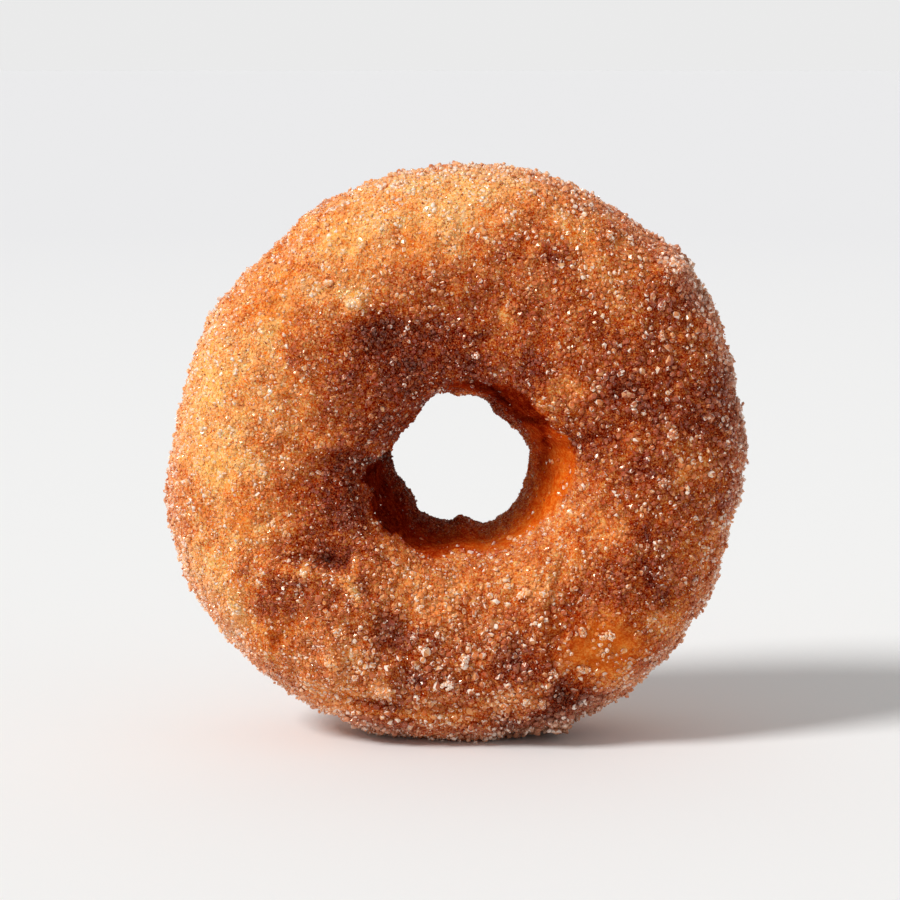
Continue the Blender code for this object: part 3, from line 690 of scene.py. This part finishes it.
def crust_colour(points):
    """The crust's linear colour at each point, with its painted shade and the painted sheen of the outer
    belt.
    """
    level = browned_with_painted_light(points) * DARK_BROWN
    steps = np.arange(len(CRUST_COLOURS))
    crust, bare = (
        np.stack([np.interp(level, steps, [c[i] for c in colours]) for i in range(3)], axis=-1)
        for colours in (CRUST_COLOURS, BARE_COLOURS)
    )
    share = sugared(points)[..., None]
    # Painted sheen: the outer belt is painted paler
    belt = BELT_SHEEN_SHARE * outer_belt(points, BELT_FROM, BELT_FADE)[..., None]
    return (bare + (crust - bare) * share) * (1 - belt) + BELT_SHEEN_COLOUR * belt


def stained(under, clean):
    """The colour of sugar over the crust, which shows through it the less the cleaner it is."""
    power = LIGHTEST + WARMER * under[..., :1] + (DEEPEST - LIGHTEST) * (1 - clean)
    return under**power * SUGAR_COLOUR**clean + GLOW * clean * (1 - clean)


def coarse_share(points):
    """How coarse the sugar is at each point, from 0 to 1."""
    front = on_front(points, COLOUR_FADE)
    share = front * blended(points, COARSENESS, *COARSE_BETWEEN) + (1 - front) * REAR_COARSE
    return np.clip(share + lumpy(points, COARSE_PATCHES), FINEST_SHARE, 1.0)


def clean_shares(points, least, most, stained_by_brown, draw):
    """How clean each grain is: more in patches, in the hole and on the crust, less in brown places."""
    clean = least + (most - least) * draw.beta(*CLEAN_DRAW, len(points))
    clean = clean * patchy(points, *CLEAN_PATCHES)
    clean = clean * (1 - stained_by_brown * np.clip(browned_with_painted_light(points) - STAINED_FROM, *STAINED_LIMITS))
    clean = clean + CLEANER_IN_HOLE * near_throat(points)
    return clean + CLEANER_ON_CRUST * on_crust(points) * draw.beta(*CRUST_CLEAN_DRAW, len(points))


# Meshes


def make_mesh(name, points, faces, colour=None, sugar=None):
    """A mesh from points in millimetres and triangles or quads, with a colour for each point or face."""
    mesh = bpy.data.meshes.new(name)
    corners = faces.shape[1]
    mesh.vertices.add(len(points))
    mesh.vertices.foreach_set("co", (points * MM).astype(np.float32).ravel())
    mesh.loops.add(faces.size)
    mesh.loops.foreach_set("vertex_index", faces.astype(np.int32).ravel())
    mesh.polygons.add(len(faces))
    mesh.polygons.foreach_set("loop_start", np.arange(0, faces.size, corners, dtype=np.int32))
    mesh.update(calc_edges=True)
    if colour is not None:
        by_face = len(colour) == len(faces)
        layer = mesh.color_attributes.new("colour", "FLOAT_COLOR", "CORNER" if by_face else "POINT")
        colour = np.repeat(colour, corners, axis=0) if by_face else colour
        layer.data.foreach_set("color", np.c_[colour, np.ones(len(colour))].astype(np.float32).ravel())
    if sugar is not None:
        layer = mesh.attributes.new("coat", "FLOAT", "POINT")
        layer.data.foreach_set("value", sugar.astype(np.float32).ravel())
    return mesh


def put(name, data):
    """A new object in the scene."""
    made = bpy.data.objects.new(name, data)
    bpy.context.scene.collection.objects.link(made)
    return made


def place_piece(name, mesh, material):
    piece = put(name, mesh)
    mesh.materials.append(material)
    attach(piece, "root")
    return piece


def ring_faces(over, round_):
    """The quads of a grid that closes both ways."""
    i, j = np.meshgrid(np.arange(over), np.arange(round_), indexing="ij")
    next_i, before = (i + 1) % over, (j - 1) % round_
    quads = [i * round_ + j, next_i * round_ + j, next_i * round_ + before, i * round_ + before]
    return np.stack(quads, axis=-1).reshape(-1, 4)


def random_places(corners, chance, count, draw):
    """Random places on triangles, and the triangle of each."""
    faces = draw.choice(len(chance), count, p=chance / chance.sum())
    shares = draw.dirichlet((1, 1, 1), count)
    return np.einsum("fk,fkc->fc", shares, corners[faces]), faces


class Surface:
    """The dough's fine triangles, to lay grains on."""

    def __init__(self, points, quads):
        self.corners = points[np.concatenate([quads[:, [0, 1, 2]], quads[:, [0, 2, 3]]])]
        cross = np.cross(self.corners[:, 1] - self.corners[:, 0], self.corners[:, 2] - self.corners[:, 0])
        size = np.linalg.norm(cross, axis=1)
        self.areas = size / 2
        self.facing = cross / np.maximum(size, 1e-9)[:, None]
        self.middles = self.corners.mean(axis=1)

    def grains(self, name, weight, draw):
        """A kind's random places, more where the weight is larger, which way each faces, and sizes."""
        kind = KINDS[name]
        places, faces = random_places(self.corners, self.areas * weight, kind["tried"], draw)
        return places, self.facing[faces], draw.uniform(*kind["sizes"], len(places))


def keep_apart(points, sizes, room):
    """Which points stay when each keeps its distance from those before it."""
    cell = float(np.max(sizes)) * room
    held = {}
    kept = []
    for number, (point, size) in enumerate(zip(points.tolist(), sizes.tolist())):
        x, y, z = (int(math.floor(value / cell)) for value in point)
        clear = True
        for key in ((x + a, y + b, z + c) for a in (-1, 0, 1) for b in (-1, 0, 1) for c in (-1, 0, 1)):
            for px, py, pz, reach in held.get(key, ()):
                far = (point[0] - px) ** 2 + (point[1] - py) ** 2 + (point[2] - pz) ** 2
                if far < (0.5 * (room * size + room * reach)) ** 2:
                    clear = False
                    break
            if not clear:
                break
        if clear:
            held.setdefault((x, y, z), []).append((*point, size))
            kept.append(number)
    return np.array(kept, int)


def grain_shapes(form, shapes, draw):
    """Grains of one form, knocked out of true: for each of the shapes, how many and how far."""
    corners, faces = form
    return [
        (corners + draw.uniform(-jitter, jitter, corners.shape), faces)
        for count, jitter in shapes for _ in range(count)
    ]


def turned(facing, lean, draw):
    """A turning for each grain: its upright along its facing, leaned, and spun."""
    count = len(facing)
    up = facing + draw.normal(size=(count, 3)) * lean
    up = up / np.linalg.norm(up, axis=1, keepdims=True)
    aside = np.cross(up, draw.normal(size=(count, 3)))
    aside = aside / np.linalg.norm(aside, axis=1, keepdims=True)
    return np.stack([aside, np.cross(up, aside), up], axis=-1)


def lay_grains(name, places, facing, sizes, draw, clean=None):
    """Joins one grain for each place as a mesh. Each facet shows the crust through it more or less, and
    steep facets are painted paler, a painted reflection at the crystal's rim.
    """
    kind = KINDS[name]
    if "room" in kind:
        kept = keep_apart(places, sizes, kind["room"])[:kind["most"]]
        places, facing, sizes = places[kept], facing[kept], sizes[kept]
    shapes = grain_shapes(kind["form"], kind["shapes"], draw)
    clean = kind["clean"] if clean is None else clean
    if isinstance(clean, tuple):
        clean = clean_shares(places, *clean, draw)
    clean = np.broadcast_to(clean, len(places))
    least, more = kind.get("facets", CLEAR_FACETS)
    turning = turned(facing, kind["lean"], draw)
    pick = draw.integers(len(shapes), size=len(places))
    stretch = draw.uniform(*STRETCH, (len(places), 3))
    under = crust_colour(places)
    points, faces, tints, smooth, start = [], [], [], [], 0
    for number, (corners, triangles) in enumerate(shapes):
        mine = np.flatnonzero(pick == number)
        local = corners[None] * (sizes[mine, None] * stretch[mine])[:, None, :]
        world = np.einsum("gij,gkj->gki", turning[mine], local)
        world += (places[mine] + facing[mine] * sizes[mine, None] * kind["out"])[:, None, :]
        points.append(world.reshape(-1, 3))
        firsts = start + np.arange(len(mine)) * len(corners)
        faces.append((firsts[:, None, None] + triangles[None]).reshape(-1, 3))
        facets = world[:, triangles] - places[mine, None, None]
        height = np.einsum("gfc,gc->gf", facets.mean(axis=2), facing[mine]) / sizes[mine, None]
        across = np.cross(facets[:, :, 1] - facets[:, :, 0], facets[:, :, 2] - facets[:, :, 0])
        level = np.abs(np.einsum("gfc,gc->gf", across, facing[mine])) / np.linalg.norm(across, axis=-1)
        share = clean[mine, None] * (least + more * draw.beta(*FACET_DRAW, height.shape))
        share *= np.clip(STAIN_LINE + height, *HEIGHT_LIMITS)
        # Painted reflection: steep facets are paler, as the bright rim of a clear crystal
        share *= SEEN_THROUGH + (1 - SEEN_THROUGH) * (1 - level) * STEEPER
        tints.append(stained(under[mine, None], np.clip(share, 0, 1)[..., None]).reshape(-1, 3))
        smooth.append(np.full(len(mine) * len(triangles), number < kind.get("worn", 0)))
        start += len(mine) * len(corners)
    points = np.concatenate(points)
    points[:, 2] = np.maximum(points[:, 2], 0.0)
    mesh = make_mesh(name, points, np.concatenate(faces), np.concatenate(tints))
    mesh.polygons.foreach_set("use_smooth", np.concatenate(smooth))
    material = sugar_material(*kind["material"]) if "material" in kind else cinnamon_material()
    place_piece(name, mesh, material)


# Materials. A pattern's scale of 1.1 / MM is 1.1 waves a millimetre

MIX_SHARE, NUMBER_A, NUMBER_B, COLOUR_A, COLOUR_B = 0, 2, 3, 6, 7  # the sockets of a Mix node
MIXED_COLOUR = 2  # and its output


def give(node, sockets):
    """Gives each socket of a node a value or a link. A node given as a value means its first output."""
    for name, value in sockets.items():
        value = value.outputs[0] if isinstance(value, bpy.types.Node) else value
        if isinstance(value, bpy.types.NodeSocket):
            node.id_data.links.new(value, node.inputs[name])
        else:
            node.inputs[name].default_value = value


def add(tree, kind, sockets=None, **settings):
    """Adds a node with its settings, values and links."""
    made = tree.nodes.new("ShaderNode" + kind)
    for name, value in settings.items():
        setattr(made, name, value)
    give(made, sockets or {})
    return made


def new_material(name):
    """A new material, its tree, its shader, and where each point of its piece is."""
    made = bpy.data.materials.new(name)
    made.use_nodes = True
    tree = made.node_tree
    return made, tree, tree.nodes["Principled BSDF"], add(tree, "TexCoord").outputs["Object"]


def dough_material():
    """Fried gluten-free dough rolled in cinnamon sugar: a brown crust, grainy and dry with sugar."""
    made, tree, shader, where = new_material("fried dough rolled in cinnamon sugar")
    colour = add(tree, "Attribute", attribute_name="colour").outputs["Color"]
    coat = add(tree, "Attribute", attribute_name="coat").outputs["Fac"]
    # The stained syrup of sugar and fat, thicker in patches of about 1 mm and in pits of about 0.2 mm:
    # a power of the colour darkens it and makes it richer, as a thicker layer does
    patches = add(tree, "TexNoise", {"Vector": where, "Scale": 1.1 / MM, "Detail": 4.0, "Roughness": 0.7})
    pits = add(tree, "TexNoise", {"Vector": where, "Scale": 3.8 / MM, "Detail": 2.0, "Roughness": 0.6})
    both = add(tree, "Math", {0: patches, 1: pits}, operation="ADD")
    thick = add(tree, "MapRange", {
        "Value": both, "From Min": 0.79, "From Max": 1.22,
        "To Min": THINNEST, "To Max": THICKEST,
    })
    # Bare dough is smoother, and its syrup nearly even
    uneven = add(tree, "MapRange", {"Value": coat, "To Min": BARE_UNEVEN})
    power = add(tree, "Mix", {
        MIX_SHARE: uneven, NUMBER_A: BARE_POWER, NUMBER_B: thick,
    }, data_type="FLOAT")
    deep = add(tree, "Gamma", {"Color": colour, "Gamma": power})
    # Sugar dust of about 0.25 mm
    dust = add(tree, "TexNoise", {"Vector": where, "Scale": 4.2 / MM, "Detail": 2.0, "Roughness": 0.6})
    pale = add(tree, "MapRange", {
        "Value": dust, "From Min": 0.5, "From Max": 0.66, "To Min": 0.0, "To Max": 0.6,
    })
    thin = add(tree, "Gamma", {"Color": colour, "Gamma": DUSTED})
    amount = add(tree, "Math", {0: pale, 1: coat}, operation="MULTIPLY")
    dusted = add(tree, "Mix", {MIX_SHARE: amount, COLOUR_A: deep, COLOUR_B: thin}, data_type="RGBA")
    bump = add(tree, "Bump", {"Height": dust, "Strength": 0.4, "Distance": 0.18 * MM})
    # Bare crust is glossy with fat, and sugar makes it dry
    dry = add(tree, "MapRange", {"Value": coat, "To Min": 0.4, "To Max": 0.66})
    give(shader, {
        "Base Color": dusted.outputs[MIXED_COLOUR],
        "Normal": bump,
        "Roughness": dry,
        "IOR": 1.45,
        "Specular IOR Level": 0.0,
        # Light goes about a millimetre into the crumb, and comes out warm
        "Subsurface Weight": 0.45,
        "Subsurface Radius": (1.0, 0.4, 0.15),
        "Subsurface Scale": 1.2 * MM,
    })
    return made


def sugar_material(name, roughness, shine, tint):
    """Crushed sugar crystals: pale blocks that take the colour of what is under them, and glint."""
    made, tree, shader, where = new_material(name)
    colour = add(tree, "Attribute", attribute_name="colour").outputs["Color"]
    # Flaws inside the crystals, about 0.2 mm, are paler
    flaws = add(tree, "TexNoise", {"Vector": where, "Scale": 5.0 / MM, "Detail": 1.0})
    share = add(tree, "MapRange", {
        "Value": flaws, "From Min": 0.4, "From Max": 0.7, "To Min": 0.0, "To Max": 0.12,
    })
    mixed = add(tree, "Mix", {
        MIX_SHARE: share, COLOUR_A: colour, COLOUR_B: (*linear("#F6E4D2"), 1),
    }, data_type="RGBA")
    give(shader, {
        "Base Color": mixed.outputs[MIXED_COLOUR],
        "Roughness": roughness,
        "IOR": 1.54,
        "Specular IOR Level": shine,
        "Specular Tint": (*tint, 1),
    })
    return made


def cinnamon_material():
    """Ground cinnamon bark: dry, dark brown flecks with no shine."""
    made, tree, shader, where = new_material("ground cinnamon bark")
    grain = add(tree, "TexNoise", {"Vector": where, "Scale": 6.0 / MM, "Detail": 2.0})
    mixed = add(tree, "Mix", {
        MIX_SHARE: grain,
        COLOUR_A: (*linear("#8A3415"), 1),
        COLOUR_B: (*linear("#B65A28"), 1),
    }, data_type="RGBA")
    give(shader, {"Base Color": mixed.outputs[MIXED_COLOUR], "Roughness": 0.85})
    return made


def paper_material():
    """White seamless studio paper: matt, with painted shade that makes it a little greyer far out, where
    less light falls.
    """
    made, tree, shader, where = new_material("white seamless paper")
    far = add(tree, "VectorMath", {0: where}, operation="LENGTH").outputs["Value"]
    share = add(tree, "MapRange", {"Value": far, "From Min": 100 * MM, "From Max": 1200 * MM})
    mixed = add(tree, "Mix", {
        MIX_SHARE: share,
        COLOUR_A: (*linear("#F0F0EF"), 1),
        COLOUR_B: (*linear("#E9E9EA"), 1),
    }, data_type="RGBA")
    give(shader, {
        "Base Color": mixed.outputs[MIXED_COLOUR], "Roughness": 0.9, "Specular IOR Level": 0.2,
    })
    return made


# Camera, floor and lights

CAMERA_TARGET, CAMERA_DISTANCE, CAMERA_ELEVATION, CAMERA_LENS = (-1.0, 0.0, 41.75), 400.0, 8.0, 110.5
CAMERA_NEAREST = 10.0
KEY_FROM, KEY_STRENGTH, KEY_WIDTH = (-0.75, -0.45, 0.85), 2.52, math.radians(16)
# The room is brighter at the horizon than over it, with the heights of the sky where it turns. On the
# camera's side only a share of its light is left, from those depths on and over those heights
SKY_STRENGTH, HORIZON_STRENGTH, HORIZON = 0.5, 0.825, (0.06, 0.25)
CAMERA_SIDE, CAMERA_SIDE_DEPTHS, CAMERA_SIDE_HEIGHTS = 0.4, (-0.4, -0.95), (0.02, 0.12)
FLOOR_REACH = 30.0  # in metres


def add_camera():
    camera = put("camera", bpy.data.cameras.new("camera"))
    tilt = math.radians(CAMERA_ELEVATION)
    away = Vector((0, -math.cos(tilt), math.sin(tilt)))
    camera.location = (Vector(CAMERA_TARGET) + away * CAMERA_DISTANCE) * MM
    camera.rotation_mode = "QUATERNION"
    camera.rotation_quaternion = (-away).to_track_quat("-Z", "Y")
    camera.data.lens = CAMERA_LENS
    camera.data.clip_start = CAMERA_NEAREST * MM
    bpy.context.scene.camera = camera


def add_stage():
    points = np.array([(-1, -1, 0), (1, -1, 0), (1, 1, 0), (-1, 1, 0)]) * FLOOR_REACH / MM
    floor = put("floor", make_mesh("floor", points, np.array([(0, 1, 2, 3)])))
    floor.data.materials.append(paper_material())

    key = put("key light", bpy.data.lights.new("key light", "SUN"))
    key.data.energy = KEY_STRENGTH
    key.data.angle = KEY_WIDTH
    key.rotation_mode = "QUATERNION"
    key.rotation_quaternion = Vector(KEY_FROM).to_track_quat("Z", "Y")

    sky = bpy.data.worlds.new("soft white room")
    bpy.context.scene.world = sky
    sky.use_nodes = True
    tree = sky.node_tree
    where = add(tree, "TexCoord").outputs["Generated"]
    way = add(tree, "SeparateXYZ", {"Vector": where}).outputs
    strength = add(tree, "MapRange", {
        "Value": way["Z"], "From Min": HORIZON[0], "From Max": HORIZON[1],
        "To Min": HORIZON_STRENGTH, "To Max": SKY_STRENGTH,
    })
    dark = add(tree, "MapRange", {
        "Value": way["Y"], "From Min": CAMERA_SIDE_DEPTHS[0], "From Max": CAMERA_SIDE_DEPTHS[1],
        "To Max": 1 - CAMERA_SIDE,
    })
    above = add(tree, "MapRange", {
        "Value": way["Z"], "From Min": CAMERA_SIDE_HEIGHTS[0], "From Max": CAMERA_SIDE_HEIGHTS[1],
        "To Max": -1.0,
    })
    share = add(tree, "Math", {0: dark, 1: above, 2: 1.0}, operation="MULTIPLY_ADD")
    both = add(tree, "Math", {0: strength, 1: share}, operation="MULTIPLY")
    give(tree.nodes["Background"], {"Strength": both, "Color": (1, 1, 1, 1)})
    bpy.context.scene.view_settings.view_transform = "Standard"


# The doughnut


def solid_ring():
    """The solid's ring of dough, with the same facets, on which its clumps of sugar were placed."""
    points = ring_points(SOLID_ROUND, SOLID_OVER, solid_relief) * MM
    mesh = bpy.data.meshes.new("solid ring")
    dough = bmesh.new()
    rings = [[dough.verts.new(point) for point in ring] for ring in points]
    for ring, next_ring in zip(rings, rings[1:] + rings[:1]):
        for i, corner in enumerate(ring):
            dough.faces.new((corner, next_ring[i], next_ring[i - 1], ring[i - 1]))
    bmesh.ops.triangulate(dough, faces=dough.faces)
    dough.to_mesh(mesh)
    dough.free()
    return mesh


def clump_room(points):
    """How far apart clumps are wanted at each point, and none where the dough is bare."""
    room = np.where(points[:, 1] > 0, REAR_ROOM, 1.0)
    room += (CRUST_ROOM - 1) * on_crust(points)
    bare = (hole_wall(points) > 0) | (points[:, 2] < LOWEST_CLUMP)
    bare |= share_within(points, BARE_MIDDLE, BARE_REACH) > MOST_BARE
    return np.where(bare, np.inf, room)


def spread_clumps(mesh):
    """Where each clump sits on the dough, and its size: the largest first, then the rest spread evenly."""
    corners = np.array([[mesh.vertices[i].co for i in face.vertices] for face in mesh.polygons]) / MM
    facing = np.array([face.normal for face in mesh.polygons])
    areas = np.array([face.area for face in mesh.polygons])
    middles = corners.mean(axis=1)
    places = []
    for across, up, size in LARGEST_CLUMPS:
        off = np.hypot(middles[:, 0] - across, middles[:, 2] - up) + np.where(facing[:, 1] < 0, 0, np.inf)
        nearest = int(np.argmin(off))
        places.append((middles[nearest], facing[nearest], size))
    draw = np.random.default_rng(CLUMP_SEED)
    points, faces = random_places(corners, areas / clump_room(middles) ** 2, CLUMP_PLACES, draw)
    room = clump_room(points)
    free = np.full(CLUMP_PLACES, np.inf)
    for place, _, _ in places:
        free = np.minimum(free, np.linalg.norm(points - place, axis=1))
    for size in np.linspace(CLUMP_SIZE[1], CLUMP_SIZE[0], CLUMPS):
        choice = draw.choice(CLUMP_PLACES, CLUMP_CHOICE, replace=False)
        best = choice[np.argmax(free[choice] / room[choice])]
        places.append((points[best], facing[faces[best]], size))
        free = np.minimum(free, np.linalg.norm(points - points[best], axis=1))
    return places


def make_clumps():
    """Crystals that stuck together, piled inside the round form of each of the solid's clumps."""
    draw = np.random.default_rng(CLUMP_SEED + 1)
    pile = np.random.default_rng(CLUMP_SEED + 2)
    places, ways, sizes, clean = [], [], [], []
    for number, (place, facing, size) in enumerate(spread_clumps(solid_ring())):
        large = number < len(LARGEST_CLUMPS)
        for _ in range(GRAINS_IN_LARGEST if large else 1):
            aside = draw.normal(size=3) if large else np.zeros(3)
            aside = aside - facing * (aside @ facing)
            aside = aside / max(np.linalg.norm(aside), 1.0)
            spot = place - facing * CLUMP_SUNK * size + aside * size * (1 - GRAIN_SHARE)
            wide = size * GRAIN_SHARE if large else size
            upright = Vector(facing + draw.normal(size=3) * CLUMP_TILT).to_track_quat("Z", "Y")
            spin = Matrix.Rotation(draw.uniform(0, math.tau), 4, "Z")
            turning = np.array((upright.to_matrix().to_4x4() @ spin).to_3x3())
            count = max(FEWEST_PILED, round(GRAINS_A_MM * wide**2))
            grains = pile.uniform(*PILED_SIZE, count)
            away = pile.normal(size=(count, 3))
            away /= np.linalg.norm(away, axis=1, keepdims=True)
            away[:, 2] = np.abs(away[:, 2])
            reach = np.array(CLUMP_SHAPE) * wide / 2 - grains[:, None] * PILED_IN
            places.append(spot + (away * np.maximum(reach, LEAST_PILE)) @ turning.T)
            ways.append(away @ turning.T)
            sizes.append(grains)
            clean.append(pile.uniform(*PILED_CLEAN, count) + (WHITER if number < WHITE_CLUMPS else 0.0))
    places, ways, sizes, clean = (np.concatenate(part) for part in (places, ways, sizes, clean))
    lay_grains("sugar_clumps", places, ways, sizes, pile, clean)


def make_dough():
    points = ring_points(FINE_ROUND, FINE_OVER, fine_relief)
    quads = ring_faces(*points.shape[:2])
    flat = points.reshape(-1, 3)
    coat = np.maximum((1 - bare_patch(flat)) * sugared(flat) * thin_sugar(flat), near_throat(flat))
    mesh = make_mesh("dough", flat, quads, crust_colour(flat), coat)
    mesh.shade_smooth()
    piece = place_piece("dough", mesh, dough_material())
    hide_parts("doughnut")
    return Surface(flat, quads)


def make_sugar(surface):
    draw = np.random.default_rng(SUGAR_SEED)
    middles = surface.middles
    bare, share, throat = bare_patch(middles), sugared(middles), near_throat(middles)
    crust, coarse = on_crust(middles), coarse_share(middles)
    # On the bare patch the sugar lies in small heaps
    coat = outside_sugar(middles) * (1 - bare) + patchy(middles, *BARE_HEAPS) * bare
    weight = share * np.clip(coat, *COAT_LIMITS) + HOLE_SUGAR * (1 - share)
    weight *= REAR_SUGAR + (1 - REAR_SUGAR) * on_front(middles, SUGAR_FADE)
    weight[middles[:, 2] < BARE_FOOT] = 0
    # Less of it stays white in the brown places, except in the crust
    white = np.maximum(np.clip(WHITE - BROWN_LOSS * browned_with_painted_light(middles), LEAST_WHITE, 1), crust)
    pale = weight * white * thin_sugar(middles)
    less_bare = 1 - BARE_LESS * bare
    dense = pale * patchy(middles, *DENSE_PATCHES) * less_bare

    # Coarse crystals lie in heaps, and some stand out of the outer belt
    belt = outer_belt(middles, PROUD_FROM, PROUD_FADE)
    wanted = COARSE_LEAST + coarse + COARSE_ON_CRUST * crust + COARSE_ON_BELT * belt
    wanted = weight * np.maximum(white, COARSE_KEPT) * wanted * patchy(middles, *COARSE_HEAPS)
    places, facing, sizes = surface.grains("coarse_sugar", wanted, draw)
    count = len(places)
    sizes += coarse_share(places) * (COARSER + COARSEST * draw.beta(*COARSER_DRAW, count))
    sizes += CRUST_LARGER * on_crust(places) * draw.beta(*CRUST_LARGER_DRAW, count)
    out = HEAPED * coarse_share(places) * patchy(places, *HEAP_TOPS) * draw.uniform(0, 1, count)
    places = places + facing * out[:, None]
    out = PROUD * outer_belt(places, PROUD_FROM, PROUD_FADE) * draw.uniform(0, 1, count) ** 2
    places = places + facing * out[:, None]
    lay_grains("coarse_sugar", places, facing, sizes, draw)

    # The finer sugar lies between them, and some of it deep in the hole
    for name, wanted in {
        "granulated_sugar": dense * (GRANULATED_LEVEL - coarse),
        "fine_sugar": dense * (FINE_LEVEL - coarse) + FINE_IN_HOLE * throat,
        "stained_sugar": weight * less_bare + STAINED_IN_HOLE * throat,
        "sugar_splinters": pale,
        "cinnamon": weight,
    }.items():
        lay_grains(name, *surface.grains(name, wanted, draw), draw)


add_camera()
add_stage()
make_sugar(make_dough())
make_clumps()
